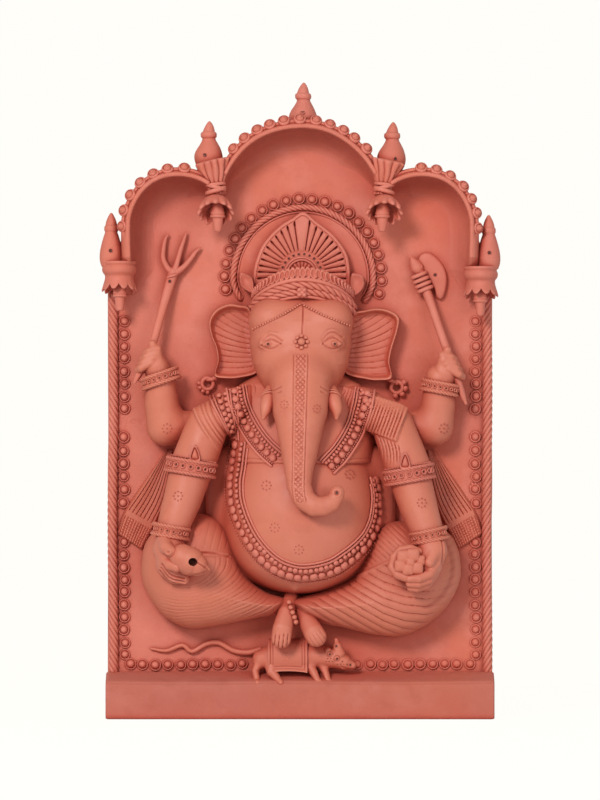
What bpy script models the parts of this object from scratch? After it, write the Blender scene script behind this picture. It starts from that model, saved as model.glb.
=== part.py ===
"""Terracotta shrine plaque: an elephant-headed figure seated under a three-arched canopy.

Sizes are in millimetres. A place is given as x (to the right), depth (forward from the face
of the back slab) and height (up from the top of the plinth). MM turns them into metres.
"""
import math

import bmesh
import bpy
from mathutils import Vector

MM = 0.001

# Air left between two pieces that are luted together
CLEARANCE = 0.3

# Faces thinner than this are melted after a cut
SLIVER = 0.05
FLAT_TURN = math.radians(1.2)
LEAST_BODY = 100.0

# Back slab and plinth
SLAB_WIDTH = 368.0
SLAB_THICKNESS = 20.0
SLAB_EDGE_HEIGHT = 384.0
PLINTH_HEIGHT = 35.0
PLINTH_REACH = 30.0
PLINTH_LIP = 34.0
LEDGE_RISE = 9.0

# Canopy: one wide arch between two smaller ones
SPRING_HEIGHT = 438.0
CENTRE_BAY = 161.0
CENTRE_ARCH_LIFT = 14.6
CENTRE_ARCH_END = 25.0
SIDE_ARCH_END = 52.0
BAY_GAP = 3.5
SHOULDER = 16.5
HOOD_DEPTH = 41.0
HOOD_BAND = 6.0
COVE = 14.0
HOOD_PELLET = 5.5
HOOD_PELLET_PITCH = 15.0

# Turned ornaments of the canopy
FINIAL_HEIGHT = 39.0
FINIAL_RADIUS = 14.3
CORBEL_FOOT_RADIUS = 8.5
CORBEL_HEIGHT = 27.0
CORBEL_FLUTES = 7
CORBEL_FLUTE_DEPTH = 0.05
CORBEL_LAP = 7.0
CUP_RADIUS = 16.5
CUP_HEIGHT = 22.0
CUP_LOBES = 6
DROP_RADIUS = 6.5
DROP_LENGTH = 16.0
BELL_HALF_WIDTH = 16.5
BELL_HEIGHT = 24.0
BELL_INSET = 11.5
BELL_LOWERING = 41.0
POT_RADIUS = 11.5
POT_HEIGHT = 48.0
POT_DEPTH = 20.0
FINIAL_DEPTH = 16.0
VENT_RADIUS = 1.7
VENT_LENGTH = 7.0

# Border of the slab
ROPE_RADIUS = 4.8
ROPE_INSET = 4.5
PELLET_RADIUS = 5.0
PELLET_HEIGHT = 3.6
PELLET_PITCH = 12.4
PELLET_COLUMN_INSET = 15.5
PELLET_ROW_HEIGHT = 16.5
PELLET_ROW_START = 55.0

PELLET_SIDES = 5
SASH_BAND = (112.0, 172.0)

# Halo behind the crown
HALO_X = 3.0
HALO_HEIGHT = 388.0
HALO_ROPE_RING = 67.0
HALO_PELLET_RING = 75.0
HALO_REACH = 100.0
HALO_ROPE_RADIUS = 3.2

# Head, in level rings of height, half width, wall and swell
FIGURE_X = 2.0
HEAD_RINGS = ((378, 28, 14, 16), (372, 38, 16, 22), (360, 44, 20, 28), (345, 47.5, 24, 33),
              (324, 48.5, 26, 37), (305, 46, 26, 39), (290, 40, 26, 39), (278, 33, 26, 38), (268, 28, 26, 34))
EYE_X = 31.5
EYE_HEIGHT = 324.0
EYE_HALF_WIDTH = 10.0
EYE_SWELL = 5.5
TUSK_RADIUS = 6.5
NOSTRIL_RADIUS = 3.2
EAR_RIM = 20.0
EAR_DISH = 9.0
EAR_SIDES = 16
EARRING_X = 91.0
EARRING_HEIGHT = 285.0
EARRING_RADIUS = 8.0

# Crown
FAN_DEPTH = 18.0
FAN_SLOTS = 19
FAN_SLOT_DEPTH = 5.0
FAN_HUB_HEIGHT = 393.0
FAN_SLOT_FOOT = 24.0
FAN_SLOT_REACH = 38.0
FAN_PEAK = 12.0
BAND_HALF_HEIGHT = 7.5
BAND_HALF_DEPTH = 6.5
CROWN_KNOB = 5.0

# Trunk, body and jewellery
BELLY_HALF_WIDTH = 79.5
BELLY_HALF_HEIGHT = 76.0
BELLY_DEPTH = 80.0
BELLY_HEIGHT = 160.0
HEM_HEIGHT = 212.0
HEM_SETBACK = 34.0
COLLAR_THICKNESS = 4.5
GARLAND_THICKNESS = 5.0
GARLAND_WIDTH = 13.0
TRIM_REACH = 140.0

# Limbs and what the hands hold
ELBOW_X = 130.0
ARMLET_THICKNESS = 3.0
ARMLET_HALF_WIDTH = 8.0
CUFF_THICKNESS = 2.2
CUFF_WIDTH = 13.0
FINGERS = 4
FINGER_RADIUS = 3.1
LEG_DEPTH = 56.0
LEG_WALL = 20.0
LEG_SIDES = 22
TOES = 5
TOE_RADIUS = 3.2
SASH_FOLDS = 4
SASH_THICKNESS = 4.0
SASH_FOLD_RISE = 2.4
STAFF_RADIUS = 3.8
PRONG_RADIUS = 4.4
BLADE_THICKNESS = 7.0
SWEET_RADIUS = 8.5

# Mouse
TAIL_RADIUS = 3.0
PAW_RADIUS = 4.2
SADDLE_THICKNESS = 2.6

SMOOTH_ANGLE = math.radians(38)

HALF_WIDTH = SLAB_WIDTH / 2
VALLEY_X = CENTRE_BAY / 2
CENTRE_RADIUS = VALLEY_X - BAY_GAP
CENTRE_HEIGHT = SPRING_HEIGHT + CENTRE_ARCH_LIFT
SIDE_ROOM = HALF_WIDTH - SHOULDER - VALLEY_X - BAY_GAP
SIDE_OUTER = SIDE_ROOM / (1 + math.cos(math.radians(SIDE_ARCH_END)))
SIDE_RADIUS = SIDE_OUTER - HOOD_BAND
SIDE_X = HALF_WIDTH - SHOULDER - SIDE_OUTER
VALLEY_HEIGHT = SPRING_HEIGHT + SIDE_OUTER * math.sin(math.radians(SIDE_ARCH_END))
CORBEL_FOOT = VALLEY_HEIGHT - CORBEL_LAP
CORBEL_TOP = CORBEL_FOOT + CORBEL_HEIGHT
CORBEL_DEPTH = HOOD_DEPTH - CORBEL_LAP
BELL_DEPTH = HOOD_DEPTH - BELL_HALF_WIDTH
BELL_TOP = SPRING_HEIGHT - BELL_LOWERING
BELL_FOOT = BELL_TOP - BELL_HEIGHT
BELL_X = HALF_WIDTH - BELL_INSET
ROPE_X = HALF_WIDTH - ROPE_INSET
CHEST_SWELL = BELLY_DEPTH - HEM_SETBACK
FIGURE_SIDES = (("left", -1), ("right", 1))


def clear_scene():
    for item in list(bpy.data.objects):
        bpy.data.objects.remove(item, do_unlink=True)


def place(x, depth, height):
    return Vector((x, -depth, height)) * MM


def add_object(name, bm):
    mesh = bpy.data.meshes.new(name)
    bm.to_mesh(mesh)
    bm.free()
    item = bpy.data.objects.new(name, mesh)
    bpy.context.scene.collection.objects.link(item)
    return item


def add_solid(name, bm):
    bmesh.ops.remove_doubles(bm, verts=bm.verts, dist=0.01 * MM)
    bmesh.ops.recalc_face_normals(bm, faces=bm.faces)
    bmesh.ops.triangulate(bm, faces=bm.faces)
    return add_object(name, bm)


def discard(*items):
    for item in items:
        bpy.data.objects.remove(item, do_unlink=True)


def loft(name, rings):
    """Closed skin over rings of equal point count; a ring of one point closes to a tip."""
    bm = bmesh.new()
    rows = [[bm.verts.new(place(*spot)) for spot in ring] for ring in rings]
    for first, second in zip(rows, rows[1:]):
        count = max(len(first), len(second))
        for k in range(count):
            corners = [first[k % len(first)], first[(k + 1) % len(first)],
                       second[(k + 1) % len(second)], second[k % len(second)]]
            face = list(dict.fromkeys(corners))
            bm.faces.new(face)
    for row in (rows[0], rows[-1]):
        if len(row) > 2:
            bm.faces.new(row)
    return add_solid(name, bm)


def bodies_of(bm):
    """Faces grouped into the separate bodies they enclose."""
    left = set(bm.faces)
    bodies = []
    while left:
        body = [left.pop()]
        for face in body:
            for edge in face.edges:
                fresh = [other for other in edge.link_faces if other in left]
                left.difference_update(fresh)
                body.extend(fresh)
        bodies.append(body)
    return bodies


def is_sound(mesh, most_bodies=None):
    """Closed all round, not emptied, and in no more bodies than it should be."""
    bm = bmesh.new()
    bm.from_mesh(mesh)
    sound = all(edge.is_manifold for edge in bm.edges)
    sound = sound and bm.calc_volume(signed=True) > LEAST_BODY * MM ** 3
    if sound and most_bodies:
        sound = len(bodies_of(bm)) <= most_bodies
    bm.free()
    return sound


def boolean(target, tool, operation):
    """Cut or join for good; the second solver steps in where the first leaves a hole."""
    cut = target.modifiers.new(operation.title(), "BOOLEAN")
    cut.object = tool
    cut.operation = operation
    whole = 1 if operation == "UNION" else None
    for solver in ("EXACT", "MANIFOLD"):
        cut.solver = solver
        graph = bpy.context.evaluated_depsgraph_get()
        result = bpy.data.meshes.new_from_object(target.evaluated_get(graph))
        if is_sound(result, whole):
            break
    target.modifiers.clear()
    old = target.data
    target.data = result
    bpy.data.meshes.remove(old)
    tidy_slivers(target)


def tidy_slivers(item):
    """Melt the needle-thin faces of a cut, unless that would open the skin."""
    bm = bmesh.new()
    bm.from_mesh(item.data)
    whole = len(bodies_of(bm))
    bmesh.ops.dissolve_degenerate(bm, dist=SLIVER * MM, edges=bm.edges)
    bmesh.ops.dissolve_limit(bm, angle_limit=FLAT_TURN, verts=bm.verts, edges=bm.edges)
    bmesh.ops.triangulate(bm, faces=bm.faces)
    trial = bpy.data.meshes.new(item.name)
    bm.to_mesh(trial)
    bm.free()
    old = item.data
    if is_sound(trial, whole):
        item.data = trial
        bpy.data.meshes.remove(old)
    else:
        bpy.data.meshes.remove(trial)


def fuse(base, *others):
    for other in others:
        boolean(base, other, "UNION")
    discard(*others)
    return base


def grown(source, amount):
    """Copy of a piece with every face moved outwards."""
    bm = bmesh.new()
    bm.from_mesh(source.data)
    bm.normal_update()
    moves = [(spot, spot.normal * amount * MM * min(spot.calc_shell_factor(), 2.0))
             for spot in bm.verts]
    for spot, move in moves:
        spot.co += move
    return add_object("grown_" + source.name, bm)


def keep_main_body(item):
    """Drop the offcuts that a cut leaves beside the main body."""
    bm = bmesh.new()
    bm.from_mesh(item.data)

    def volume(body):
        return abs(sum(face.calc_area() * face.normal.dot(face.calc_center_median()) for face in body))

    for body in sorted(bodies_of(bm), key=volume)[:-1]:
        bmesh.ops.delete(bm, geom=body, context="FACES")
    bm.to_mesh(item.data)
    bm.free()


def seat(item, *carriers):
    """Cut a piece to the shape of the pieces that carry it, with the clearance between."""
    for carrier in carriers:
        tool = grown(carrier, CLEARANCE)
        boolean(item, tool, "DIFFERENCE")
        discard(tool)
    keep_main_body(item)
    return item


def spline(points, count, closed=False):
    """Evenly stepped curve through control points."""
    size = len(points)
    spans = size if closed else size - 1
    result = []
    for step in range(count):
        along = spans * step / (count if closed else count - 1)
        k = min(int(along), spans - 1)
        t = along - k
        if closed:
            a, b, c, d = (points[(k + shift) % size] for shift in (-1, 0, 1, 2))
        else:
            a, b, c, d = (points[min(max(k + shift, 0), size - 1)] for shift in (-1, 0, 1, 2))
        result.append(tuple(
            0.5 * (2 * q + (r - p) * t + (2 * p - 5 * q + 4 * r - s) * t ** 2
                   + (3 * q - p - 3 * r + s) * t ** 3)
            for p, q, r, s in zip(a, b, c, d)))
    return result


def prism(name, outline, near, far):
    return loft(name, [[(x, depth, height) for x, height in outline] for depth in (near, far)])


def pillow(name, outline, apex, depth, wall=2.0, levels=4):
    """Swelling relief: a wall up from the slab, then a dome that closes over the apex."""
    rings = [[(x, CLEARANCE, height) for x, height in outline]]
    for level in range(levels):
        turn = math.pi / 2 * level / levels
        share = math.cos(turn)
        rise = wall + (depth - wall) * math.sin(turn)
        rings.append([(apex[0] + (x - apex[0]) * share, rise,
                       apex[1] + (height - apex[1]) * share) for x, height in outline])
    rings.append([(apex[0], depth, apex[1])])
    return loft(name, rings)


def limb(name, stations, sides=8, blunt=(True, True)):
    """Rounded bar along stations of x, depth, height, half width and half depth."""
    centres = [Vector(station[:3]) for station in stations]
    rings = []
    last = len(stations) - 1
    for k, station in enumerate(stations):
        run = (centres[min(k + 1, last)] - centres[max(k - 1, 0)]).normalized()
        front = (Vector((0, 1, 0)) - run * run.y).normalized()
        across = run.cross(front)
        wide, deep = station[3], station[4]

        def ring(shift, share):
            spots = []
            for j in range(sides):
                turn = 2 * math.pi * (j + 0.5) / sides
                spots.append(tuple(centres[k] + run * shift + across * wide * share * math.cos(turn)
                                   + front * deep * share * math.sin(turn)))
            return spots

        bulge = min(wide, deep)
        if k == 0 and blunt[0]:
            rings.append([tuple(centres[k] - run * bulge * 0.85)])
            rings.append(ring(-bulge * 0.55, 0.72))
        rings.append(ring(0, 1))
        if k == last and blunt[1]:
            rings.append(ring(bulge * 0.55, 0.72))
            rings.append([tuple(centres[k] + run * bulge * 0.85)])
    return loft(name, rings)


def relief_stack(name, stations, steps=12, flutes=0, flute_depth=0.0):
    """Half-round relief from level rings of height, x, half width, wall depth and swell."""
    rings = []
    for height, x, wide, wall, swell in stations:
        ring = [(x + wide, CLEARANCE, height)]
        for k in range(steps + 1):
            turn = math.pi * k / steps
            share = 1 + flute_depth * math.cos(2 * flutes * turn) if flutes else 1
            ring.append((x + wide * share * math.cos(turn),
                         wall + swell * share * math.sin(turn), height))
        ring.append((x - wide, CLEARANCE, height))
        rings.append(ring)
    return loft(name, rings)


def turned(name, x, depth, profile, sides=8):
    """Solid turned about an upright axis, from pairs of height and radius."""
    rings = []
    for height, radius in profile:
        if radius:
            rings.append([(x + radius * math.cos(2 * math.pi * k / sides),
                           depth + radius * math.sin(2 * math.pi * k / sides), height) for k in range(sides)])
        else:
            rings.append([(x, depth, height)])
    return loft(name, rings)


def studs(name, places, radius):
    """Small balls of clay in one mesh, ready to be fused on."""
    bm = bmesh.new()
    for spot in places:
        ball = bmesh.ops.create_icosphere(bm, subdivisions=1, radius=radius * MM)
        bmesh.ops.translate(bm, verts=ball["verts"], vec=place(*spot))
    return add_solid(name, bm)


def discs(name, places, radius, rise):
    """Low tapered pellets on the slab face in one mesh, ready to be fused on."""
    bm = bmesh.new()
    sides = PELLET_SIDES
    for x, height in places:
        low, high = ([bm.verts.new(place(x + size * math.cos(2 * math.pi * k / sides), depth,
                                         height + size * math.sin(2 * math.pi * k / sides)))
                      for k in range(sides)] for size, depth in ((radius, -1.0), (radius * 0.62, rise)))
        bm.faces.new(low)
        bm.faces.new(high)
        for k in range(sides):
            bm.faces.new([low[k], low[(k + 1) % sides], high[(k + 1) % sides], high[k]])
    return add_solid(name, bm)


def evenly(first, last, pitch):
    count = max(1, round(abs(last - first) / pitch))
    return [first + (last - first) * k / count for k in range(count + 1)]


def arc_spots(x, height, radius, first, last, pitch):
    turns = evenly(math.radians(first), math.radians(last), pitch / radius)
    return [(x + radius * math.cos(turn), height + radius * math.sin(turn)) for turn in turns]


def vent(item, x, height, front):
    """Needle hole that lets steam out of a hollow form in the kiln."""
    outline = [(x + VENT_RADIUS * math.cos(math.pi * k / 3), height + VENT_RADIUS * math.sin(math.pi * k / 3))
               for k in range(6)]
    pin = prism("pin", outline, front - VENT_LENGTH, front + VENT_LENGTH)
    boolean(item, pin, "DIFFERENCE")
    discard(pin)
    return item


# Slab and plinth

def slab_outline():
    """Straight sides under three lobes; the lobes meet in the valleys."""
    centre_outer = CENTRE_RADIUS + HOOD_BAND
    right = [(HALF_WIDTH, CLEARANCE), (HALF_WIDTH, SLAB_EDGE_HEIGHT)]
    right += arc_spots(SIDE_X, SPRING_HEIGHT, SIDE_OUTER, 0, 180 - SIDE_ARCH_END, 11)
    middle = arc_spots(0, CENTRE_HEIGHT, centre_outer, CENTRE_ARCH_END, 180 - CENTRE_ARCH_END, 12)
    left = [(-x, height) for x, height in reversed(right)]
    return right + [(VALLEY_X, VALLEY_HEIGHT - 3)] + middle + [(-VALLEY_X, VALLEY_HEIGHT - 3)] + left


def slab_pellets():
    spots = []
    column = HALF_WIDTH - PELLET_COLUMN_INSET
    top = BELL_FOOT - 27
    for height in evenly(PELLET_ROW_HEIGHT, top, PELLET_PITCH):
        if not SASH_BAND[0] < height < SASH_BAND[1]:
            spots += [(-column, height), (column, height)]
    for x in evenly(PELLET_ROW_START, column, PELLET_PITCH)[:-1]:
        spots += [(-x, PELLET_ROW_HEIGHT), (x, PELLET_ROW_HEIGHT)]
    return spots + arc_spots(HALO_X, HALO_HEIGHT, HALO_PELLET_RING, 90 - HALO_REACH, 90 + HALO_REACH,
                             PELLET_PITCH)


def build_slab():
    slab = prism("back_slab", slab_outline(), 0, -SLAB_THICKNESS)
    return fuse(slab, discs("slab_pellets", slab_pellets(), PELLET_RADIUS, PELLET_HEIGHT))


def build_plinth():
    """Block with a rebate for the slab and a ledge that slopes forward."""
    lip = PLINTH_LIP - PLINTH_HEIGHT
    section = [(-SLAB_THICKNESS, -PLINTH_HEIGHT), (PLINTH_REACH, -PLINTH_HEIGHT),
               (PLINTH_REACH, lip - 2), (PLINTH_REACH - 3, lip), (CLEARANCE + 4, LEDGE_RISE),
               (CLEARANCE, LEDGE_RISE), (CLEARANCE, 0), (-SLAB_THICKNESS, 0)]
    return loft("plinth", [[(x, depth, height) for depth, height in section]
                           for x in (-HALF_WIDTH, HALF_WIDTH)])


# Canopy

def hood(name, x, height, radius, first, last, leg, pellet_span):
    """Arched hood: a cove that curves out from the slab to a rim, with pellets on its edge."""
    section = [(radius - COVE, CLEARANCE), (radius - 0.57 * COVE, 4), (radius - 0.25 * COVE, 14),
               (radius - 0.06 * COVE, 27), (radius, HOOD_DEPTH - 3), (radius + HOOD_BAND / 2, HOOD_DEPTH),
               (radius + HOOD_BAND, HOOD_DEPTH - 3), (radius + HOOD_BAND, CLEARANCE)]
    stations = [(turn, 0) for turn in evenly(first, last, 12)]
    if leg:
        stations.append((last, leg))
    rings = [[(x + reach * math.cos(math.radians(turn)), depth,
               height - drop + reach * math.sin(math.radians(turn))) for reach, depth in section]
             for turn, drop in stations]
    arch = loft(name, rings)
    edge = radius + HOOD_BAND + 2.5
    spots = arc_spots(x, height, edge, *pellet_span, HOOD_PELLET_PITCH)
    balls = studs(name + "_pellets", [(px, HOOD_DEPTH - HOOD_BAND, pz) for px, pz in spots], HOOD_PELLET)
    return fuse(arch, balls)


def build_hoods():
    centre = hood("canopy_centre_arch", 0, CENTRE_HEIGHT, CENTRE_RADIUS, CENTRE_ARCH_END,
                  180 - CENTRE_ARCH_END, 0, (CENTRE_ARCH_END + 13, 167 - CENTRE_ARCH_END))
    leg = SPRING_HEIGHT - BELL_TOP - CLEARANCE
    left = hood("canopy_left_arch", -SIDE_X, SPRING_HEIGHT, SIDE_RADIUS, SIDE_ARCH_END, 180, leg,
                (174, SIDE_ARCH_END + 28))
    right = hood("canopy_right_arch", SIDE_X, SPRING_HEIGHT, SIDE_RADIUS, 180 - SIDE_ARCH_END, 0, leg,
                 (6, 152 - SIDE_ARCH_END))
    return centre, left, right


def finial_profile(foot):
    shape = [(0, 0.62), (0.1, 0.95), (0.17, 1), (0.36, 0.85), (0.55, 0.5), (0.64, 0.46), (0.68, 0.54),
             (0.73, 0.42), (0.82, 0.47), (0.86, 0.38), (0.94, 0.26)]
    profile = [(foot + FINIAL_HEIGHT * up, FINIAL_RADIUS * out) for up, out in shape]
    return profile + [(foot + FINIAL_HEIGHT, 0)]


def build_finial(name, x, foot, *carriers):
    finial = seat(turned(name, x, FINIAL_DEPTH, finial_profile(foot)), *carriers)
    return vent(finial, x, foot + FINIAL_HEIGHT * 0.3, FINIAL_DEPTH + FINIAL_RADIUS)


def build_corbel(name, x):
    """Fluted bracket that flares upwards over the valley between two hoods."""
    shape = ((0, 1.0), (0.12, 1.08), (0.22, 0.92), (0.62, 1.3), (0.9, 1.8), (1, 1.88))
    stations = [(CORBEL_FOOT + CORBEL_HEIGHT * up, x, CORBEL_FOOT_RADIUS * out, CORBEL_DEPTH,
                 CORBEL_FOOT_RADIUS * out * 0.85) for up, out in shape]
    return relief_stack(name, stations, 2 * CORBEL_FLUTES, CORBEL_FLUTES, CORBEL_FLUTE_DEPTH)


def scalloped_cup(name, x, depth, top, sides):
    """Open scalloped bell with a drop hanging out of it."""
    profile = ((0, 0.45, 0), (0.3, 0.75, 0.3), (0.62, 0.95, 0.7), (1, 1, 1), (0.88, 0.86, 1), (0.6, 0.42, 0))
    rings = []
    for down, out, lobe in profile:
        ring = []
        for k in range(sides):
            turn = 2 * math.pi * k / sides
            wave = math.cos(CUP_LOBES * turn) * lobe
            reach = CUP_RADIUS * out * (1 + 0.05 * wave)
            ring.append((x + reach * math.cos(turn), depth + reach * math.sin(turn),
                         top - CUP_HEIGHT * down - 1.6 * wave))
        rings.append(ring)
    drop = top - CUP_HEIGHT
    for down, out in ((0, 1.0), (0.25, 1.1), (0.3, 0.8), (0.65, 0.85)):
        rings.append([(x + DROP_RADIUS * out * math.cos(2 * math.pi * k / sides),
                       depth + DROP_RADIUS * out * math.sin(2 * math.pi * k / sides),
                       drop - DROP_LENGTH * down) for k in range(sides)])
    rings.append([(x, depth, drop - DROP_LENGTH)])
    return loft(name, rings)


def build_bell(name, x):
    """Corner bracket: a flat cap over a flared bell with a drop below."""
    shape = ((0, 1.06, 1.0), (0.14, 1.02, 0.95), (0.4, 0.84, 0.8), (0.62, 0.92, 0.9), (0.66, 1, 1),
             (1, 1, 1))
    stations = [(BELL_FOOT + BELL_HEIGHT * up, x, BELL_HALF_WIDTH * out, BELL_DEPTH,
                 BELL_HALF_WIDTH * swell) for up, out, swell in shape]
    bell = relief_stack(name, stations, 12)
    bead = ((-3, 1.08), (7, 1.22), (9, 0.92), (15, 0.85), (20, 0))
    drop = [(BELL_FOOT - down, DROP_RADIUS * out) for down, out in bead]
    return fuse(bell, turned(name + "_drop", x, BELL_DEPTH + 2, drop, 8))


def pot_profile():
    foot = BELL_TOP + CLEARANCE
    shape = ((0, 0.8), (0.08, 1), (0.3, 1), (0.5, 0.72), (0.62, 0.5), (0.68, 0.62), (0.74, 0.46),
             (0.88, 0.42))
    profile = [(foot + POT_HEIGHT * up, POT_RADIUS * out) for up, out in shape]
    return profile + [(foot + POT_HEIGHT, 0)]


def twisted_bar(name, path, radius, twist):
    """Six-sided bar that turns along its path, standing for a rolled clay rope."""
    centres = [Vector(spot) for spot in path]
    last = len(centres) - 1
    rings = []
    for k, centre in enumerate(centres):
        run = (centres[min(k + 1, last)] - centres[max(k - 1, 0)]).normalized()
        front = Vector((0, 1, 0))
        across = run.cross(front)
        rings.append([tuple(centre + radius * (across * math.cos(j * math.pi / 3 + twist * k)
                                               + front * math.sin(j * math.pi / 3 + twist * k)))
                      for j in range(6)])
    return loft(name, rings)


def build_ropes(room):
    ropes = {}
    for side, sign in FIGURE_SIDES:
        path = [(sign * ROPE_X, ROPE_RADIUS / 2, height)
                for height in evenly(LEDGE_RISE + 1, BELL_FOOT - 2, ROPE_RADIUS * 5)]
        ropes[side] = seat(twisted_bar("border_rope_" + side, path, ROPE_RADIUS, sign * 0.5), room)
    ring = arc_spots(HALO_X, HALO_HEIGHT, HALO_ROPE_RING, 90 - HALO_REACH, 90 + HALO_REACH,
                     HALO_ROPE_RADIUS * 5)
    path = [(x, HALO_ROPE_RADIUS / 2, height) for x, height in ring]
    ropes["halo"] = seat(twisted_bar("halo_rope", path, HALO_ROPE_RADIUS, 0.5), room)
    return ropes


# Head and crown

def build_head():
    head = relief_stack("head", [(height, FIGURE_X - 1.5, wide, wall, swell)
                                 for height, wide, wall, swell in HEAD_RINGS])
    for side, sign in FIGURE_SIDES:
        stations = []
        for along in (-0.8, -0.3, 0.3, 0.8):
            x = sign * EYE_X + EYE_HALF_WIDTH * along
            size = EYE_SWELL * (1 - 0.8 * along ** 2)
            stations.append((FIGURE_X + x, head_depth(x, EYE_HEIGHT) - 2, EYE_HEIGHT, size * 0.8, size))
        fuse(head, limb("eye", stations, 6))
    return head


def head_depth(x, height):
    """Depth of the face at a place, from the level ring nearest to it."""
    ring = min(HEAD_RINGS, key=lambda row: abs(row[0] - height))
    return ring[2] + ring[3] * math.sqrt(max(0, 1 - (x / ring[1]) ** 2))


def build_trunk():
    """Tapering trunk that hangs over the belly and curls up at its tip."""
    root = ((1.5, -7, 286, 28, 18), (2, 6, 262, 28, 19))
    hang = ((2.4, -7, 240, 23, 17.5), (2.4, -1, 218, 18.5, 16), (2.4, 4, 200, 16, 14.5),
            (3.5, 8, 186, 14.8, 14), (9, 11, 174.5, 13, 13), (18, 13, 169, 11.5, 12),
            (27, 13, 171.5, 9.8, 10.5), (33, 12, 178, 8.2, 9), (35, 11, 184, 7.4, 8))
    stations = [(x, head_depth(0, height) + proud, height, wide, deep)
                for x, proud, height, wide, deep in root]
    stations += [(x, BELLY_DEPTH + proud, height, wide, deep) for x, proud, height, wide, deep in hang]
    trunk = limb("trunk", stations, 10)
    tip = stations[-1]
    bore = limb("nostril", [(tip[0], tip[1], tip[2], NOSTRIL_RADIUS, NOSTRIL_RADIUS),
                            (tip[0] + 4, tip[1], tip[2] + 14, NOSTRIL_RADIUS, NOSTRIL_RADIUS)], 6)
    boolean(trunk, bore, "DIFFERENCE")
    discard(bore)
    return trunk


def build_tusk(name, sign):
    line = ((29.5, 54, 282, 1), (32, 62, 268, 0.85), (35, 66, 256, 0.46))
    return limb(name, [(sign * x, depth, height, TUSK_RADIUS * size, TUSK_RADIUS * size)
                       for x, depth, height, size in line], 8)


def build_ear(name, outline, heart):
    """Leaf-shaped ear with a raised rim round a dished middle."""
    edge = spline(outline, EAR_SIDES, True)
    levels = ((0.9, CLEARANCE), (0.97, EAR_RIM * 0.6), (1, EAR_RIM * 0.9), (0.94, EAR_RIM),
              (0.84, EAR_RIM * 0.8), (0.55, EAR_DISH + 2))
    rings = [[(heart[0] + (x - heart[0]) * share, depth, heart[1] + (height - heart[1]) * share)
              for x, height in edge] for share, depth in levels]
    return loft(name, rings + [[(heart[0], EAR_DISH, heart[1])]])


def build_ears():
    left = ((-48, 357), (-72, 361), (-86, 345), (-81, 322), (-82, 294), (-60, 290), (-38, 298), (-42, 330))
    right = ((51, 352), (74, 359), (95, 350), (87, 318), (87, 290), (66, 289), (42, 297), (46, 328))
    return {"left": build_ear("left_ear", left, (-62, 325)),
            "right": build_ear("right_ear", right, (68, 324))}


def build_earring(name, x):
    sides = 10
    levels = ((1, CLEARANCE), (1, 5.5), (0.8, 7.5), (0.45, 6.5), (0.4, 4))
    rings = [[(x + EARRING_RADIUS * out * math.cos(2 * math.pi * k / sides), depth,
               EARRING_HEIGHT + EARRING_RADIUS * out * math.sin(2 * math.pi * k / sides))
              for k in range(sides)] for out, depth in levels]
    return loft(name, rings)


def build_crown_band():
    """Band over the brow with an upright frill behind it and a knob in front."""
    path = spline(((-47, 18, 356), (-34, 33, 368), (2, 45, 378), (38, 33, 368), (51, 18, 356)), 9)
    band = limb("crown_band", [(*spot, BAND_HALF_HEIGHT, BAND_HALF_DEPTH) for spot in path], 7)
    frill = spline(((-43, 364), (-33, 383), (2, 393), (37, 383), (47, 364), (2, 372)), 14, True)
    knob = studs("knob", [(FIGURE_X, 50, 374)], CROWN_KNOB)
    return fuse(band, prism("frill", frill, 19, 33), knob)


def build_fan():
    """Pointed fan of pierced rays standing behind the crown band."""
    edge = spline(((-43, 384), (-41, 408), (-29, 431), (-10, 444), (2, 450), (15, 444), (34, 431),
                   (46, 408), (48, 384)), 17)
    fan = prism("crown_fan", edge, CLEARANCE, FAN_DEPTH)
    hub = Vector((FIGURE_X, 0, FAN_HUB_HEIGHT))
    for k in range(FAN_SLOTS):
        turn = math.pi * (k + 0.8) / (FAN_SLOTS + 0.6)
        reach = FAN_SLOT_REACH + FAN_PEAK * math.sin(turn) ** 3
        run = Vector((math.cos(turn), 0, math.sin(turn)))
        across = Vector((-run.z, 0, run.x))
        corners = [hub + run * far + across * wide for far, wide in
                   ((FAN_SLOT_FOOT, -0.9), (reach, -1.9), (reach, 1.9), (FAN_SLOT_FOOT, 0.9))]
        slot = prism("slot", [(spot.x, spot.z) for spot in corners], FAN_DEPTH - FAN_SLOT_DEPTH,
                     FAN_DEPTH + FAN_SLOT_DEPTH)
        boolean(fan, slot, "DIFFERENCE")
        discard(slot)
    return fan


def build_crown_leaf(name, x, tall):
    height, half = 386, 6
    outline = ((x - half, height), (x - half + 1, height - tall / 2), (x, height - tall),
               (x + half - 1, height - tall / 2), (x + half, height), (x, height + 5))
    return pillow(name, outline, (x, height - 2), 14, 9, 2)


# Body

def build_chest(name="chest", extra=0.0):
    rings = ((296, 0, 40, 10, 0.39), (285, 0, 60, 12, 0.52), (272, 0, 70, 14, 0.65), (250, 1, 70, 16, 0.78),
             (230, 2, 67, 18, 0.91), (HEM_HEIGHT, 3, 65, 18, 1))
    return relief_stack(name, [(height, x, wide + extra, wall, CHEST_SWELL * swell + extra)
                               for height, x, wide, wall, swell in rings], 12)


def build_belly(name="belly", extra=0.0):
    sides = 24
    middle = FIGURE_X - 1.5
    ring = [(middle + (BELLY_HALF_WIDTH + extra) * math.cos(2 * math.pi * k / sides),
             BELLY_HEIGHT + (BELLY_HALF_HEIGHT + extra) * math.sin(2 * math.pi * k / sides))
            for k in range(sides)]
    return pillow(name, ring, (middle, BELLY_HEIGHT), BELLY_DEPTH + extra, 2, 6)


def cut_to_outline(layer, outline):
    """Trim a layer of clay to an outline seen from the front."""
    edge = prism("edge", outline, CLEARANCE, TRIM_REACH)
    boolean(layer, edge, "INTERSECT")
    discard(edge)


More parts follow.
